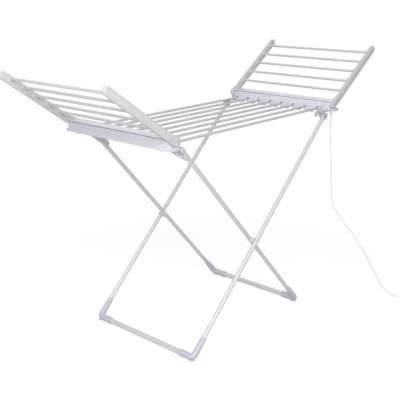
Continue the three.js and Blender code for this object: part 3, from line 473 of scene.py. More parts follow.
def drawn_metal(name, colour, way, metallic=0.3, roughness=0.38):
    """Drawn aluminium tube that runs in the direction way, with fine lines along it"""
    if name in bpy.data.materials:
        return bpy.data.materials[name]
    material, tree, shader, place = new_finish(name)
    turn = way.rotation_difference(X).to_euler()
    turned = add_node(tree, "ShaderNodeMapping", [("Vector", place), ("Rotation", turn)]).outputs[0]
    streaks = grouped(tree, "Drawn streaks", [("Vector", turned)])
    drift = grouped(tree, "Tone drift", [
        ("Vector", place), ("Colour", (*colour, 1.0)), ("Scale", 9.0), ("Amount", 0.05),
        ("Roughness", roughness), ("Roughness Amount", 0.12)])
    lined = remap(tree, streaks["Height"], 0.3, 0.7, 0.96, 1.03)
    fill_sockets(tree, shader, [
        ("Base Color", scaled(tree, drift["Colour"], lined)), ("Roughness", drift["Roughness"]),
        ("Normal", bumped(tree, streaks["Height"], 0.12, STREAK_DEPTH)), ("Metallic", metallic)])
    return material


def colours():
    return bpy.context.scene.airer_colours


def sizes():
    return bpy.context.scene.airer_sizes


def lilac():
    return moulded("housing plastic", colours().housing, corner_shade=0.8)


# Paler copy of the housing lilac: painted light on the covers
def cover_lilac_painted_lit():
    return moulded("cover plastic painted paler", colours().cover, roughness=0.24, grain=0.25, corner_shade=0.95)


def pale_grey():
    return moulded("arm plastic", colours().arm)


def blue_grey():
    return moulded("elbow plastic", colours().elbow, roughness=0.5, grain=0.7, wear=0.45)


def white_plastic():
    return moulded("white plastic", colours().cord, roughness=0.34, grain=0.25, wear=0.1)


def cord_white():
    return moulded("cord jacket", colours().cord, roughness=0.4, grain=0.35, wear=0.0)


def black_gloss():
    return moulded("rocker black", (0.03, 0.03, 0.035), roughness=0.16, grain=0.08, wear=0.15)


# Dark grey for the strips in the cover grooves, painted shade for the shadow of the joint
def painted_groove_shade_grey():
    return moulded("painted groove shade", (0.26, 0.26, 0.29), roughness=0.6, grain=0.4, wear=0.0)


# Darker copy of the housing plastic: painted shade on the claws and catches
def shaded_catch_grey():
    return moulded("catch plastic painted darker", colours().catch, corner_shade=0.8)


def silicone():
    return moulded("wire silicone", (0.45, 0.16, 0.08), roughness=0.55, grain=0.4, wear=0.0)


def steel():
    return drawn_metal("pin steel", (0.55, 0.55, 0.56), Z, metallic=0.9, roughness=0.3)


# Mesh helpers
def new_object(name, data):
    made = bpy.data.objects.new(name, data)
    bpy.context.scene.collection.objects.link(made)
    return made


def new_mesh(name, bm):
    """Moves bm into a mesh"""
    mesh = bpy.data.meshes.new(name)
    bm.to_mesh(mesh)
    bm.free()
    return mesh


def evaluated(made):
    """The object's mesh after its modifiers, or the tube that a curve makes"""
    bpy.context.view_layer.update()
    done = made.evaluated_get(bpy.context.evaluated_depsgraph_get())
    bm = bmesh.new()
    bm.from_mesh(done.to_mesh())
    done.to_mesh_clear()
    return bm


def weld(bm):
    """Merges doubles and turns the faces outwards"""
    bmesh.ops.remove_doubles(bm, verts=bm.verts, dist=1e-6)
    bmesh.ops.recalc_face_normals(bm, faces=bm.faces)
    return bm


def lathe(profile, start, way, closed=False, steps=None):
    """Spins a profile of (distance, radius) pairs round the line from start in the direction way"""
    bm = bmesh.new()
    way = way.normalized()
    out = way.orthogonal().normalized()
    verts = [bm.verts.new(start + way * along + out * radius) for along, radius in profile]
    edges = [bm.edges.new(pair) for pair in zip(verts, verts[1:])]
    if closed:
        edges.append(bm.edges.new((verts[-1], verts[0])))
    bmesh.ops.spin(bm, geom=verts + edges, cent=start, axis=way, angle=2 * math.pi,
                   steps=steps or sizes().round_steps, use_merge=True)
    return weld(bm)


def round_edges(bm, edges, width, segments):
    """Bevels the edges to a round"""
    bmesh.ops.bevel(bm, geom=edges, offset=width, offset_type="OFFSET", segments=segments, profile=0.5,
                    affect="EDGES", clamp_overlap=True, material=-1)


def soften(bm, width, segments=2, least=35):
    """Rounds every edge that turns by more than the least angle"""
    limit = math.radians(least)
    round_edges(bm, [edge for edge in bm.edges if edge.is_manifold and edge.calc_face_angle(0) > limit],
                width, segments)
    return bm


def cad_copy(node):
    """A merged copy of a CAD node's mesh"""
    bm = bmesh.new()
    bm.from_mesh(frame["nodes"][node].data)
    bmesh.ops.remove_doubles(bm, verts=bm.verts, dist=1e-5)
    bmesh.ops.dissolve_limit(bm, angle_limit=math.radians(0.5), verts=bm.verts, edges=bm.edges)
    return bm


def add_to(bm, *others):
    """Puts other meshes into bm as loose shells"""
    for other in others:
        mesh = new_mesh("part", other)
        bm.from_mesh(mesh)
        bpy.data.meshes.remove(mesh)
    return bm


def piece(name, bm, body, finish, slot, *nodes):
    """Makes the mesh a piece that rides on a body and stands for the CAD nodes"""
    mesh = new_mesh(name, bm)
    mesh.shade_smooth()
    mesh.set_sharp_from_angle(angle=SMOOTH_ANGLE)
    mesh.materials.append(finish)
    made = new_object(name, mesh)
    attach(made, body)
    if nodes:
        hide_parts(*nodes)
    return made


def node_body(node):
    bodies = frame["record"]["behaviour"]["bodies"]
    return next(body for body, nodes in bodies.items() if node in nodes)


def softened_piece(name, node, finish, slot, width=None):
    """The CAD node's own shape with rounded edges, on the node's body"""
    bm = soften(cad_copy(node), width or sizes().plastic_edge)
    return piece(name, bm, node_body(node), finish, slot, node)


def carve(bm, *cutters):
    """Cuts closed meshes out of bm"""
    blank = new_object("blank", new_mesh("blank", bm))
    tools = [new_object("cutter", new_mesh("cutter", cutter)) for cutter in cutters]
    for tool in tools:
        cut = blank.modifiers.new("cut", "BOOLEAN")
        cut.operation = "DIFFERENCE"
        cut.solver = "EXACT"
        cut.object = tool
    result = evaluated(blank)
    for made in [blank, *tools]:
        mesh = made.data
        bpy.data.objects.remove(made)
        bpy.data.meshes.remove(mesh)
    return result


def swept(points, radii):
    """Closed round tube through points, with a radius at each, and flat ends"""
    curve = bpy.data.curves.new("sweep", "CURVE")
    curve.dimensions = "3D"
    curve.bevel_depth = 1.0
    curve.bevel_resolution = SWEEP_RESOLUTION
    curve.use_fill_caps = True
    spline = curve.splines.new("POLY")
    spline.points.add(len(points) - 1)
    for point, place, radius in zip(spline.points, points, radii):
        point.co = (*place, 1.0)
        point.radius = radius
    made = new_object("sweep", curve)
    bm = evaluated(made)
    bpy.data.objects.remove(made)
    bpy.data.curves.remove(curve)
    return weld(bm)


def block(low, high):
    """Box between two corners"""
    bm = bmesh.new()
    bmesh.ops.create_cube(bm, size=1.0)
    low, high = Vector(low), Vector(high)
    bmesh.ops.scale(bm, vec=high - low, verts=bm.verts)
    bmesh.ops.translate(bm, vec=(low + high) / 2, verts=bm.verts)
    return bm


def centre_line(node, axis):
    """Ends of a straight round CAD node that lies along one axis"""
    low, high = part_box(node)
    start, end = (low + high) / 2, (low + high) / 2
    start[axis], end[axis] = low[axis], high[axis]
    return start, end


def open_tube(start, end, radius):
    """Thin tube with softened ends"""
    length = (end - start).length
    bore = radius - TUBE_WALL
    edge = TUBE_EDGE
    profile = [(edge, bore), (0, bore + edge), (0, radius - edge), (edge, radius),
               (length - edge, radius), (length, radius - edge), (length, bore + edge), (length - edge, bore)]
    return lathe(profile, start, end - start, closed=True)


def straight_tube(name, node, axis, radius, finish, slot):
    """Thin tube for a straight round CAD node that lies along one axis, on the node's body"""
    start, end = centre_line(node, axis)
    piece(name, open_tube(start, end, radius), node_body(node), finish, slot, node)


# Places of the leg frames in the plane of X and Z
def joint_place(name):
    return Vector(JOINTS[name]["pos_m"])


def mount_place(name):
    return next(Vector(mount["pos_m"]) for mount in frame["record"]["mounts"] if mount["name"] == name)


def leg_lines():
    """For each leg frame: its direction down the leg and the corner over its foot"""
    foot_height = (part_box("inner_foot_tube")[0].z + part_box("inner_foot_tube")[1].z) / 2
    crossing = joint_place("leg_cross")
    lines = {}
    for name, mount in (("inner", "foot_near_right"), ("outer", "foot_near_left")):
        foot = mount_place(mount)
        corner = Vector((foot.x, 0, foot_height))
        lines[name] = ((corner - crossing).normalized(), corner)
    return lines


def leg_y(frame_name, side):
    low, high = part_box(f"{frame_name}_leg_{'near' if side < 0 else 'far'}")
    return (low.y + high.y) / 2


# Pieces
class AIRER_OT_rack_bars(bpy.types.Operator):
    """Eight long heated bars of the rack"""

    bl_idname = "airer.rack_bars"
    bl_label = "Rack bars"

    def execute(self, context):
        finish = drawn_metal("rack bar metal", colours().bar, X)
        for number in range(1, 9):
            straight_tube(f"rack_tube_{number}", f"rack_bar_{number}", 0, BAR_RADIUS, finish, "bar_aluminium")
        return {"FINISHED"}


class AIRER_OT_wing_bars(bpy.types.Operator):
    """Five heated bars of each wing"""

    bl_idname = "airer.wing_bars"
    bl_label = "Wing bars"

    def execute(self, context):
        finish = drawn_metal("wing bar metal", colours().wing_bar, Y)
        for wing, _ in WINGS:
            for number in range(1, 6):
                straight_tube(f"{wing}_wing_tube_{number}", f"{wing}_wing_bar_{number}", 1, BAR_RADIUS,
                              finish, "bar_aluminium")
        return {"FINISHED"}


def arm_outline(bm, y, tip_x):
    """Side outline of an arm in the wing's own frame, at the depth y: eye, shoulder and round tip"""
    half = ARM_DEPTH / 2
    lean = math.atan2(-ARM_DROP, ARM_TAPER)
    up = Vector((-math.sin(lean), 0, math.cos(lean)))
    shoulder = Vector((ARM_TAPER, y, -ARM_DROP))
    eye = Vector((0, y, 0))
    tip = Vector((tip_x - half, y, -ARM_DROP))

    def arc(centre, first):
        start = bm.verts.new(first)
        made = bmesh.ops.spin(bm, geom=[start], cent=centre, axis=-Y, angle=math.pi, steps=ARC_STEPS)
        return start, made["geom_last"][0]

    eye_top, eye_low = arc(eye, eye + up * ARM_EYE_RADIUS)
    tip_low, tip_top = arc(tip, tip - Z * half)
    low = bm.verts.new(shoulder - up * half)
    top = bm.verts.new(shoulder + up * half)
    for pair in ((eye_low, low), (low, tip_low), (tip_top, top), (top, eye_top)):
        bm.edges.new(pair)
    return bmesh.ops.contextual_create(bm, geom=bm.edges[:])["faces"]


def wing_matrix(wing, sign):
    """From a wing's own frame, with its arms along X, to its raised place"""
    pivot = joint_place(f"{wing}_wing_hinge")
    first = wing_rung_place(wing, 1) - pivot
    raised = math.atan2(first.z, abs(first.x))
    turn = Matrix.Identity(4) if sign > 0 else Matrix.Rotation(math.pi, 4, "Z")
    out = Matrix.Translation((abs(pivot.x), 0, pivot.z)) @ Matrix.Rotation(-raised, 4, "Y")
    return turn @ out


def wing_rung_place(wing, number):
    low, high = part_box(f"{wing}_wing_bar_{number}")
    middle = (low + high) / 2
    return Vector((middle.x, 0, middle.z))


def arm_body(inner, outer, tip_x, rung_xs, side):
    """Arm between two depths, with a recess for the pivot stub and a boss round each rung"""
    bm = bmesh.new()
    face = arm_outline(bm, inner, tip_x)
    made = bmesh.ops.extrude_face_region(bm, geom=face)
    moved = [part for part in made["geom"] if isinstance(part, bmesh.types.BMVert)]
    bmesh.ops.translate(bm, vec=Y * (outer - inner), verts=moved)
    bmesh.ops.recalc_face_normals(bm, faces=bm.faces)
    soften(bm, sizes().arm_edge, segments=ARM_EDGE_STEPS, least=60)
    recess = lathe([(0, 0), (0, STUB_RECESS_RADIUS), (RECESS_CUT, STUB_RECESS_RADIUS), (RECESS_CUT, 0)],
                   Vector((0, outer - side * STUB_RECESS_DEPTH, 0)), Y * side)
    bm = carve(bm, recess)
    bore = BAR_RADIUS + FIT_GAP
    profile = [(0, bore), (0, BOSS_RADIUS + BOSS_FLARE), (BOSS_FLARE_END, BOSS_RADIUS),
               (BOSS_HEIGHT, BOSS_RADIUS), (BOSS_HEIGHT + BOSS_SINK, BOSS_RADIUS - BOSS_SINK),
               (BOSS_HEIGHT + BOSS_SINK, bore)]
    for x in rung_xs:
        start = Vector((x, inner + side * BOSS_SINK, 0))
        add_to(bm, lathe(profile, start, Y * -side, closed=True, steps=SMALL_STEPS))
    return bm


class AIRER_OT_wing_arms(bpy.types.Operator):
    """Four rounded side arms of the wings"""

    bl_idname = "airer.wing_arms"
    bl_label = "Wing arms"

    def execute(self, context):
        for wing, sign in WINGS:
            place = wing_matrix(wing, sign)
            back = place.inverted()
            rung_xs = [(back @ wing_rung_place(wing, number)).x for number in range(1, 6)]
            for side_name, side in SIDES:
                node = f"{wing}_wing_arm_{side_name}"
                verts = [back @ vert.co for vert in frame["nodes"][node].data.vertices]
                depths = [vert.y for vert in verts]
                local_side = side * sign
                inner = min(depths, key=abs) + local_side * BOSS_HEIGHT
                outer = max(depths, key=abs)
                bm = arm_body(inner, outer, max(vert.x for vert in verts), rung_xs, local_side)
                bmesh.ops.transform(bm, matrix=place, verts=bm.verts)
                piece(f"{wing}_arm_{side_name}", bm, f"{wing}_wing", pale_grey(), "housing_plastic", node)
        return {"FINISHED"}


class AIRER_OT_pivot_caps(bpy.types.Operator):
    """Round caps on the pivot stubs of the wings"""

    bl_idname = "airer.pivot_caps"
    bl_label = "Pivot caps"

    def execute(self, context):
        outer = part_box("right_wing_arm_far")[1].y
        for wing, _ in WINGS:
            pivot = joint_place(f"{wing}_wing_hinge")
            for side_name, side in SIDES:
                start = Vector((pivot.x, side * (outer - PIVOT_CAP_HEIGHT), pivot.z))
                piece(f"{wing}_pivot_cap_{side_name}", lathe(PIVOT_CAP, start, Y * side), "rack", lilac(),
                      "housing_plastic")
        return {"FINISHED"}


class AIRER_OT_housings(bpy.types.Operator):
    """End housings with their skirts and ledges"""

    bl_idname = "airer.housings"
    bl_label = "End housings"

    def execute(self, context):
        for wing, _ in WINGS:
            softened_piece(f"{wing}_housing", f"{wing}_housing_base", lilac(), "housing_plastic")
        return {"FINISHED"}


class AIRER_OT_covers(bpy.types.Operator):
    """Covers of the end housings"""

    bl_idname = "airer.covers"
    bl_label = "Housing covers"

    def execute(self, context):
        for wing, _ in WINGS:
            softened_piece(f"{wing}_cover", f"{wing}_housing_cover", cover_lilac_painted_lit(), "housing_plastic")
        return {"FINISHED"}


class AIRER_OT_groove_shade_strips(bpy.types.Operator):
    """Dark grey strips set back in the grooves under the covers, painted shade for the shadow in the joint"""

    bl_idname = "airer.cover_seals"
    bl_label = "Groove shade strips"

    def execute(self, context):
        for wing, _ in WINGS:
            low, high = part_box(f"{wing}_housing_cover")
            bottom = high.z - COVER_THICKNESS - GROOVE_HEIGHT + FIT_GAP
            top = high.z - COVER_THICKNESS - FIT_GAP
            outer, inner = SHADE_STRIP_SETBACK, SHADE_STRIP_SETBACK + SHADE_STRIP_THICKNESS
            ring = block((low.x + outer, low.y + outer, bottom), (high.x - outer, high.y - outer, top))
            hole = block((low.x + inner, low.y + inner, bottom - SHADE_STRIP_CUT),
                         (high.x - inner, high.y - inner, top + SHADE_STRIP_CUT))
            # Dark strip in the groove: painted shade
            piece(f"{wing}_groove_shade_strip", carve(ring, hole), "rack", painted_groove_shade_grey(), "black_plastic")
        return {"FINISHED"}


class AIRER_OT_leg_tubes(bpy.types.Operator):
    """Four round legs"""

    bl_idname = "airer.leg_tubes"
    bl_label = "Leg tubes"

    def execute(self, context):
        for name, (way, corner) in leg_lines().items():
            finish = drawn_metal(f"{name} leg metal", colours().leg, way, roughness=0.5)
            for side_name, side in SIDES:
                node = f"{name}_leg_{side_name}"
                y = leg_y(name, side)
                low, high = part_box(node)
                lower = corner + Y * y - way * ELBOW_TUBE_START
                top_z = high.z - LEG_RADIUS * math.sqrt(1 - way.z ** 2)
                upper = lower - way * ((top_z - lower.z) / -way.z)
                piece(f"{name}_tube_{side_name}", open_tube(upper, lower, LEG_RADIUS), f"{name}_legs", finish,
                      "leg_aluminium", node)
        return {"FINISHED"}


class AIRER_OT_foot_tubes(bpy.types.Operator):
    """Two foot tubes across the legs"""

    bl_idname = "airer.foot_tubes"
    bl_label = "Foot tubes"

    def execute(self, context):
        finish = drawn_metal("foot tube metal", colours().leg, Y)
        for name in ("inner", "outer"):
            straight_tube(f"{name}_foot_bar", f"{name}_foot_tube", 1, FOOT_RADIUS, finish, "leg_aluminium")
        return {"FINISHED"}


def bend_points(corner, up, along):
    """Quadratic bend from the leg's line to the foot tube's line"""
    first, last = corner + up * ELBOW_BEND, corner + along * ELBOW_BEND
    points = []
    for step in range(BEND_STEPS + 1):
        t = step / BEND_STEPS
        points.append(first * (1 - t) ** 2 + corner * 2 * t * (1 - t) + last * t ** 2)
    return points


def socket_cutter(corner, way, reach, radius):
    """Round cutter for the socket of an elbow, from inside its bend to past the end of the sleeve"""
    start = corner + way * (ELBOW_TUBE_START - FIT_GAP)
    length = reach - ELBOW_TUBE_START + SOCKET_CUT
    return lathe([(0, 0), (0, radius), (length, radius), (length, 0)], start, way)


def sleeve_steps(reach, radius):
    """Distances from the corner and radii along a tapered sleeve of an elbow, from the bend outwards"""
    shares = [step / ELBOW_STEPS for step in range(1, ELBOW_STEPS + 1)]
    return [(ELBOW_BEND + (reach - ELBOW_BEND) * share,
             ELBOW_BEND_RADIUS + (radius - ELBOW_BEND_RADIUS) * share) for share in shares]


def corner_elbow(corner, leg_way, y, side):
    """Moulded corner: a sleeve up the leg, a bend, a sleeve along the foot tube and a round floor pad"""
    place = corner + Y * y
    up, along = -leg_way, Y * -side
    bend = bend_points(place, up, along)
    upper = sleeve_steps(ELBOW_LEG_REACH, ELBOW_LEG_RADIUS)[::-1]
    lower = sleeve_steps(ELBOW_FOOT_REACH, ELBOW_FOOT_RADIUS)
    points = [*(place + up * far for far, _ in upper), *bend, *(place + along * far for far, _ in lower)]
    radii = [*(wide for _, wide in upper), *[ELBOW_BEND_RADIUS] * len(bend), *(wide for _, wide in lower)]
    bm = swept(points, radii)
    bm = carve(bm, socket_cutter(place, up, ELBOW_LEG_REACH, LEG_RADIUS + FIT_GAP),
               socket_cutter(place, along, ELBOW_FOOT_REACH, FOOT_RADIUS + FIT_GAP))
    soften(bm, ELBOW_EDGE, least=50)
    pad_place = Vector((corner.x, y - side * ELBOW_BEND / 2, 0))
    return add_to(bm, lathe(FLOOR_PAD, pad_place, Z))


class AIRER_OT_elbows(bpy.types.Operator):
    """Four corner elbows that stand on the floor"""

    bl_idname = "airer.elbows"
    bl_label = "Corner elbows"

    def execute(self, context):
        for name, (way, corner) in leg_lines().items():
            for side_name, side in SIDES:
                bm = corner_elbow(corner, way, leg_y(name, side), side)
                piece(f"{name}_corner_{side_name}", bm, f"{name}_legs", blue_grey(), "elbow_plastic",
                      f"{name}_elbow_{side_name}")
        return {"FINISHED"}


class AIRER_OT_leg_caps(bpy.types.Operator):
    """Sleeved caps on the tops of the inner legs"""

    bl_idname = "airer.leg_caps"
    bl_label = "Leg caps"

    def execute(self, context):
        way = leg_lines()["inner"][0]
        top = joint_place("leg_fold")
        bore = LEG_RADIUS + FIT_GAP
        mouth, shoulder, floor = LEG_CAP_SOCKET
        profile = [*LEG_CAP, (mouth, bore + LEG_CAP_LIP), (shoulder, bore), (floor, bore), (floor, 0)]
        for side_name, side in SIDES:
            start = Vector((top.x, leg_y("inner", side), top.z)) - way * LEG_CAP_RISE
            piece(f"leg_top_cap_{side_name}", lathe(profile, start, way), "inner_legs", lilac(),
                  "housing_plastic", f"inner_leg_cap_{side_name}")
        return {"FINISHED"}


def domed_rivet(start, end, both_heads=True):
    """Rivet with a domed head at its start, and at its end a second head or a plain chamfer"""
    length = (end - start).length
    head = [(along, RIVET_HEAD_RADIUS * share) for along, share in RIVET_DOME]
    head.append((head[-1][0], RIVET_RADIUS))
    if both_heads:
        tail = [(length - along, wide) for along, wide in reversed(head)]
    else:
        tail = [(length - PIN_CHAMFER, RIVET_RADIUS), (length, RIVET_RADIUS - PIN_CHAMFER), (length, 0)]
    return lathe(head + tail, start, end - start, steps=SMALL_STEPS)


class AIRER_OT_pins(bpy.types.Operator):
    """Rivets at the crossings and hinge pins of the inner legs"""

    bl_idname = "airer.pins"
    bl_label = "Rivets and pins"

    def execute(self, context):
        for side_name, side in SIDES:
            start, end = centre_line(f"cross_rivet_{side_name}", 1)
            piece(f"crossing_rivet_{side_name}", domed_rivet(start, end), "inner_legs", steel(),
                  "pin_steel", f"cross_rivet_{side_name}")
            start, end = centre_line(f"leg_hinge_pin_{side_name}", 1)
            head, tail = (end, start) if side > 0 else (start, end)
            piece(f"hinge_pin_{side_name}", domed_rivet(head, tail, both_heads=False),
                  node_body(f"leg_hinge_pin_{side_name}"), steel(), "pin_steel", f"leg_hinge_pin_{side_name}")
        return {"FINISHED"}


class AIRER_OT_small_mouldings(bpy.types.Operator):
    """Spacers, claws, brackets and catches, with softened edges"""

    bl_idname = "airer.small_mouldings"
    bl_label = "Small mouldings"

    def execute(self, context):
        kinds = (("cross_spacer", "spacer", lilac()), ("outer_leg_claw", "claw", shaded_catch_grey()),
                 ("leg_bracket", "bracket", lilac()), ("leg_catch", "catch", shaded_catch_grey()))
        for side_name, _ in SIDES:
            for node_name, name, finish in kinds:
                softened_piece(f"{name}_{side_name}", f"{node_name}_{side_name}", finish, "housing_plastic")
        return {"FINISHED"}


def screw(place, way):
    """Small pan-head screw with a cross recess"""
    head = lathe(SCREW_HEAD, Vector((0, 0, 0)), Z, steps=SCREW_STEPS)
    reach, half = SCREW_SLOT
    bars = [block((-x, -y, SCREW_SLOT_FLOOR), (x, y, SCREW_CUT)) for x, y in ((reach, half), (half, reach))]
    bm = carve(head, *bars)
    turn = Z.rotation_difference(way).to_matrix().to_4x4()
    bmesh.ops.transform(bm, matrix=Matrix.Translation(place) @ turn, verts=bm.verts)
    return bm


class AIRER_OT_screws(bpy.types.Operator):
    """Screws under the end housings"""

    bl_idname = "airer.screws"
    bl_label = "Housing screws"

    def execute(self, context):
        low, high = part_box("right_housing_cover")
        middle = (low.x + high.x) / 2
        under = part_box("right_housing_base")[0].z
        bm = bmesh.new()
        for sign in (1, -1):
            for y in SCREW_PLACES:
                add_to(bm, screw(Vector((sign * middle, y, under)), -Z))
        piece("housing_screws", bm, "rack", steel(), "pin_steel")
        return {"FINISHED"}


class AIRER_OT_switch(bpy.types.Operator):
    """Rocker switch in the outer face of the right housing"""

    bl_idname = "airer.switch"
    bl_label = "Rocker switch"

    def execute(self, context):
        softened_piece("switch_frame", "switch_body", black_gloss(), "black_plastic", SWITCH_EDGE)
        softened_piece("rocker", "switch_rocker", black_gloss(), "black_plastic", ROCKER_EDGE)
        return {"FINISHED"}


class AIRER_OT_inner_parts(bpy.types.Operator):
    """Finishes of the heating wires and the terminal block inside the airer"""

    bl_idname = "airer.inner_parts"
    bl_label = "Inner parts"

    def execute(self, context):
        for node in ("rack_heating_wire", "right_wing_heating_wire", "left_wing_heating_wire"):
            dress(node, silicone())
        dress("terminal_block", white_plastic())
        return {"FINISHED"}


def dress(node, finish):
    made = frame["nodes"][node]
    made.data.materials.clear()
    made.data.materials.append(finish)


# Cord
def coil_points():
    """Two layers of turns, winding in and out again"""
    diameter = sizes().cord_diameter
    pitch = diameter + COIL_GAP
    steps = COIL_TURNS * COIL_STEPS
    climb = COIL_STEPS / 2
    points = []
    for step in range(2 * steps + 1):
        turn = COIL_START - 2 * math.pi * step / COIL_STEPS
        radius = COIL_RADIUS - pitch * min(step, 2 * steps - step) / COIL_STEPS
        t = min(max((step - (steps - climb / 2)) / climb, 0), 1)
        rise = t * t * (3 - 2 * t)
        points.append(COIL_CENTRE + Vector((radius * math.cos(turn), radius * math.sin(turn),
                                            diameter / 2 + FLOOR_GAP + rise * pitch)))
    return points


def flat_way(a, b):
    way = b - a
    way.z = 0
    return way.normalized()


def cord_points():
    """The hanging route, the coil and the short end to the plug"""
    turns = coil_points()
    reach = COIL_INTAKE_DIAMETERS * sizes().cord_diameter
    intake = turns[0] - flat_way(turns[0], turns[1]) * reach
    before = intake - flat_way(intake, turns[0]) * reach
    out = flat_way(turns[-2], turns[-1])
    lead = [turns[-1] + out * COIL_LEAD / 2, turns[-1] + out * COIL_LEAD]
    return [*(Vector(point) for point in CORD_ROUTE), before, intake, *turns, *lead]


class AIRER_OT_cord(bpy.types.Operator):
    """Mains cord from its grip to the plug, with its spare length coiled"""

    bl_idname = "airer.cord"
    bl_label = "Mains cord"

    def execute(self, context):
        points = cord_points()
        curve = bpy.data.curves.new("mains_cord", "CURVE")
        curve.dimensions = "3D"
        curve.bevel_depth = sizes().cord_diameter / 2
        curve.bevel_resolution = 5
        curve.resolution_u = 5
        curve.use_fill_caps = True
        spline = curve.splines.new("BEZIER")
        spline.bezier_points.add(len(points) - 1)
        for knot, point in zip(spline.bezier_points, points):
            knot.co = point
            knot.handle_left_type = knot.handle_right_type = "AUTO"
        curve.materials.append(cord_white())
        cord = new_object("mains_cord", curve)
        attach(cord, "rack")
        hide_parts("cord_hang", "cord_coil")
        add_relief()
        tie = add_tie()
        plug_pieces = add_plug(points[-1], flat_way(points[-2], points[-1]))
        return {"FINISHED"}


def add_relief():
    """Tapered ribbed sleeve where the cord leaves the housing, with its collar inside"""
    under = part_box("right_housing_base")[0].z
    exit_place = Vector(CORD_ROUTE[0])
    bore = sizes().cord_diameter / 2 + RELIEF_GAP
    length = sizes().relief_length
    profile = [(RELIEF_COLLAR[0][0], bore), *RELIEF_COLLAR]
    pitch = (length - RELIEF_PLAIN_LENGTH) / RELIEF_RIBS
    groove = bore + RELIEF_GROOVE_WALL
    for rib in range(RELIEF_RIBS):
        wide = RELIEF_RIB_RADIUS - rib * RELIEF_RIB_TAPER
        start = RELIEF_RIB_START + rib * pitch
        profile += [(start, wide), (start + pitch * RELIEF_RIB_END, wide),
                    (start + pitch * RELIEF_GROOVE_START, groove),
                    (start + pitch * RELIEF_GROOVE_END, groove)]
    profile += [(length - back, wide) for back, wide in RELIEF_TIP]
    profile += [(length, bore + RELIEF_LIP), (length, bore)]
    start = Vector((exit_place.x, exit_place.y, under))
    bm = lathe(profile, start, -Z, closed=True)
    piece("cord_strain_relief", bm, "rack", cord_white(), "white_plastic", "cord_gland")


def add_tie():
    """Thin band round the coil, opposite the ends of its turns"""
    diameter = sizes().cord_diameter
    pitch = diameter + COIL_GAP
    outer = COIL_RADIUS - pitch / 2 + diameter / 2
    inner = COIL_RADIUS - pitch * 3 / 2 - diameter / 2
    top = 2 * diameter + COIL_GAP + FLOOR_GAP
    bm = bmesh.new()
    bmesh.ops.create_grid(bm, x_segments=1, y_segments=1, size=0.5)
    bmesh.ops.scale(bm, vec=(outer - inner + 2 * TIE_GAP, top - TIE_THICKNESS, 1), verts=bm.verts)
    middle = ((outer + inner) / 2, (top + TIE_THICKNESS) / 2, -TIE_WIDTH / 2)
    bmesh.ops.translate(bm, vec=middle, verts=bm.verts)
    bmesh.ops.bevel(bm, geom=bm.verts[:], offset=diameter * TIE_CORNER_SHARE, offset_type="OFFSET",
                    segments=6, profile=0.5, affect="VERTICES", material=-1)
    rim = bm.edges[:]
    bmesh.ops.delete(bm, geom=bm.faces[:], context="FACES_ONLY")
    made = bmesh.ops.extrude_edge_only(bm, edges=[edge for edge in rim if edge.is_valid])
    verts = [part for part in made["geom"] if isinstance(part, bmesh.types.BMVert)]
    bmesh.ops.translate(bm, vec=(0, 0, TIE_WIDTH), verts=verts)
    bmesh.ops.recalc_face_normals(bm, faces=bm.faces)
    bmesh.ops.solidify(bm, geom=bm.faces[:], thickness=-TIE_THICKNESS)
    stand = Matrix.Rotation(math.pi / 2, 4, "X")
    turned = Matrix.Rotation(COIL_START + math.pi, 4, "Z")
    bmesh.ops.transform(bm, matrix=Matrix.Translation(COIL_CENTRE) @ turned @ stand, verts=bm.verts)
    bmesh.ops.recalc_face_normals(bm, faces=bm.faces)
    return piece("coil_tie", bm, "rack", black_gloss(), "black_plastic")


def plug_body():
    """Plug body lying on its back, in its own frame: cord entry at the origin, length along Y, pins up"""
    bm = block((-PLUG_HALF_WIDTH, 0, FLOOR_GAP), (PLUG_HALF_WIDTH, PLUG_LENGTH, PLUG_HEIGHT))
    entry = [vert for vert in bm.verts if vert.co.y < PLUG_LENGTH / 2]
    bmesh.ops.scale(bm, vec=(PLUG_ENTRY_SHARE, 1, 1), verts=entry)
    upright = [edge for edge in bm.edges if abs(edge.verts[0].co.z - edge.verts[1].co.z) > PLUG_HEIGHT / 2]
    round_edges(bm, upright, PLUG_CORNER, 6)
    soften(bm, PLUG_EDGE, segments=4, least=60)
    (back, wide), (front, narrow) = PLUG_RING_BACK, PLUG_RING_FRONT
    for ring in range(PLUG_RINGS):
        less = ring * PLUG_RING_TAPER
        start = Vector((0, -PLUG_RING_START - ring * PLUG_RING_PITCH, PLUG_ENTRY_HEIGHT))
        add_to(bm, lathe([(back, 0), (back, wide - less), (front, narrow - less), (front, 0)], start, -Y,
                         steps=SMALL_STEPS))
    return bm


def add_block(bm, low, high, edge, segments=2):
    """Adds a box with rounded edges to bm"""
    add_to(bm, soften(block(low, high), edge, segments=segments, least=60))


def plug_pins():
    """Two live pins and the longer earth pin"""
    bm = bmesh.new()
    for x, y, wide, deep, tall in PLUG_PINS:
        low = (x - wide / 2, y - deep / 2, PIN_ROOT)
        high = (x + wide / 2, y + deep / 2, PLUG_HEIGHT + tall)
        add_block(bm, low, high, PIN_EDGE, segments=3)
    return bm


def pin_sleeves():
    """Sleeves at the roots of the live pins, and the cover over the fuse"""
    bm = bmesh.new()
    for x in (-LIVE_PIN_X, LIVE_PIN_X):
        low = (x - SLEEVE_HALF_WIDTH, *SLEEVE_LOW)
        high = (x + SLEEVE_HALF_WIDTH, *SLEEVE_HIGH)
        add_block(bm, low, high, SLEEVE_EDGE)
    add_block(bm, *FUSE_COVER, FUSE_COVER_EDGE)
    return bm


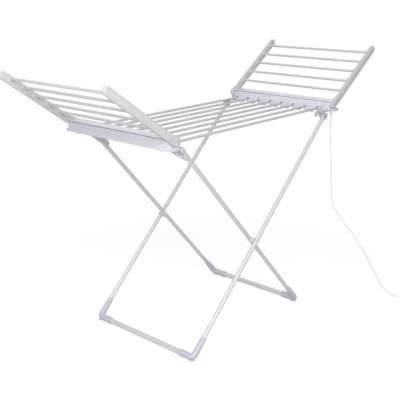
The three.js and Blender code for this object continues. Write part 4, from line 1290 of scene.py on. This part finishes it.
def add_plug(entry, way):
    place = Matrix.Translation((entry.x, entry.y, 0)) @ Matrix.Rotation(
        math.atan2(way.y, way.x) - math.pi / 2, 4, "Z")
    made = []
    for name, bm, finish, slot, nodes in (
            ("plug_shell", plug_body(), white_plastic(), "white_plastic", ("plug",)),
            ("plug_pins", plug_pins(), steel(), "pin_steel", ()),
            ("plug_pin_sleeves", pin_sleeves(), black_gloss(), "black_plastic", ())):
        bmesh.ops.transform(bm, matrix=place, verts=bm.verts)
        made.append(piece(name, bm, "rack", finish, slot, *nodes))
    return made


# Stage
def grey(level):
    return level, level, level, 1


def camera_axes():
    """The camera's right, up and forward directions"""
    level = math.cos(CAMERA_PITCH)
    forward = Vector((-math.sin(CAMERA_YAW) * level, math.cos(CAMERA_YAW) * level, math.sin(CAMERA_PITCH)))
    right = forward.cross(Z).normalized()
    up = right.cross(forward)
    c, s = math.cos(CAMERA_ROLL), math.sin(CAMERA_ROLL)
    return right * c + up * s, up * c - right * s, forward


def add_camera(scene):
    data = bpy.data.cameras.new("photo_camera")
    data.sensor_width = CAMERA_SENSOR
    data.lens = CAMERA_FOCUS / PICTURE * data.sensor_width
    data.shift_x = (PICTURE / 2 - CAMERA_CENTRE[0]) / PICTURE
    data.shift_y = (CAMERA_CENTRE[1] - PICTURE / 2) / PICTURE
    data.clip_start, data.clip_end = CAMERA_CLIP
    right, up, forward = camera_axes()
    turn = Matrix((right, up, -forward)).transposed().to_4x4()
    camera = new_object("photo_camera", data)
    camera.matrix_world = Matrix.Translation(CAMERA_PLACE) @ turn
    scene.camera = camera


def seen_directly(tree):
    """1 for rays that show the background itself: camera, glossy and transmission rays"""
    path = add_node(tree, "ShaderNodeLightPath").outputs
    first = maths(tree, "MAXIMUM", path["Is Camera Ray"], path["Is Glossy Ray"])
    return maths(tree, "MAXIMUM", first, path["Is Transmission Ray"])


def add_floor():
    bm = bmesh.new()
    bmesh.ops.create_grid(bm, x_segments=8, y_segments=8, size=FLOOR_SIZE)
    mesh = new_mesh("studio_floor", bm)
    material = bpy.data.materials.new("studio white")
    tree, out = empty_tree(material, "ShaderNodeOutputMaterial")
    matt = add_node(tree, "ShaderNodeBsdfDiffuse", [("Color", grey(FLOOR_BOUNCE))])
    dimmed = add_node(tree, "ShaderNodeBsdfDiffuse", [("Color", grey(FLOOR_SHADE))])
    lift = add_node(tree, "ShaderNodeEmission", [("Color", grey(1)), ("Strength", FLOOR_LIFT)])
    shaded = add_node(tree, "ShaderNodeAddShader", [(0, dimmed.outputs[0]), (1, lift.outputs[0])])
    white = add_node(tree, "ShaderNodeEmission", [("Color", grey(1)), ("Strength", 1.0)])
    place = add_node(tree, "ShaderNodeTexCoord")
    distance = add_node(tree, "ShaderNodeVectorMath", [(0, place.outputs["Object"])], operation="LENGTH")
    away = add_node(tree, "ShaderNodeMapRange", [
        ("Value", distance.outputs["Value"]), ("From Min", FLOOR_FADE_START), ("From Max", FLOOR_FADE_END)],
        interpolation_type="SMOOTHSTEP")
    seen = add_node(tree, "ShaderNodeMixShader", [
        (0, away.outputs[0]), (1, shaded.outputs[0]), (2, white.outputs[0])])
    mix = add_node(tree, "ShaderNodeMixShader", [
        (0, seen_directly(tree)), (1, matt.outputs[0]), (2, seen.outputs[0])])
    tree.links.new(mix.outputs[0], out.inputs["Surface"])
    mesh.materials.append(material)
    floor = new_object("studio_floor", mesh)


def add_world(scene):
    world = bpy.data.worlds.new("studio")
    tree, out = empty_tree(world, "ShaderNodeOutputWorld")
    fill = add_node(tree, "ShaderNodeBackground", [("Color", FILL_COLOUR), ("Strength", FILL_STRENGTH)])
    white = add_node(tree, "ShaderNodeBackground", [("Color", grey(1)), ("Strength", 1.0)])
    mix = add_node(tree, "ShaderNodeMixShader", [
        (0, seen_directly(tree)), (1, fill.outputs[0]), (2, white.outputs[0])])
    tree.links.new(mix.outputs[0], out.inputs["Surface"])
    scene.world = world


def add_lamp(name, place, aim, size, energy):
    data = bpy.data.lights.new(name, "AREA")
    data.size = size
    data.energy = energy
    turn = (aim - place).to_track_quat("-Z", "Y").to_matrix().to_4x4()
    new_object(name, data).matrix_world = Matrix.Translation(place) @ turn


class AIRER_OT_stage(bpy.types.Operator):
    """Floor, soft light and the camera of the photograph"""

    bl_idname = "airer.stage"
    bl_label = "Stage"

    def execute(self, context):
        scene = context.scene
        scene.view_settings.view_transform = "Standard"
        add_camera(scene)
        add_floor()
        add_world(scene)
        for lamp in LAMPS:
            add_lamp(*lamp)
        return {"FINISHED"}


PIECES = (
    AIRER_OT_stage, AIRER_OT_cord, AIRER_OT_rack_bars, AIRER_OT_wing_bars, AIRER_OT_wing_arms,
    AIRER_OT_pivot_caps, AIRER_OT_housings, AIRER_OT_covers, AIRER_OT_groove_shade_strips, AIRER_OT_leg_tubes,
    AIRER_OT_foot_tubes, AIRER_OT_elbows, AIRER_OT_leg_caps, AIRER_OT_pins, AIRER_OT_small_mouldings,
    AIRER_OT_screws, AIRER_OT_switch, AIRER_OT_inner_parts,
)


class AIRER_PT_panel(bpy.types.Panel):
    """Sizes, colours and pieces of the airer"""

    bl_idname = "AIRER_PT_panel"
    bl_label = "Heated clothes airer"
    bl_space_type = "VIEW_3D"
    bl_region_type = "UI"
    bl_category = "Airer"

    def draw(self, context):
        layout = self.layout
        for group in (context.scene.airer_sizes, context.scene.airer_colours):
            for name in group.__annotations__:
                layout.prop(group, name)
        for operator in PIECES:
            layout.operator(operator.bl_idname)


CLASSES = (AirerSizes, AirerColours, *PIECES, AIRER_PT_panel)


def register():
    for cls in CLASSES:
        bpy.utils.register_class(cls)
    bpy.types.Scene.airer_sizes = bpy.props.PointerProperty(type=AirerSizes)
    bpy.types.Scene.airer_colours = bpy.props.PointerProperty(type=AirerColours)


def unregister():
    del bpy.types.Scene.airer_colours
    del bpy.types.Scene.airer_sizes
    for cls in reversed(CLASSES):
        bpy.utils.unregister_class(cls)


def main():
    register()
    for operator in PIECES:
        family, name = operator.bl_idname.split(".")
        getattr(getattr(bpy.ops, family), name)()


if __name__ == "__main__":
    main()
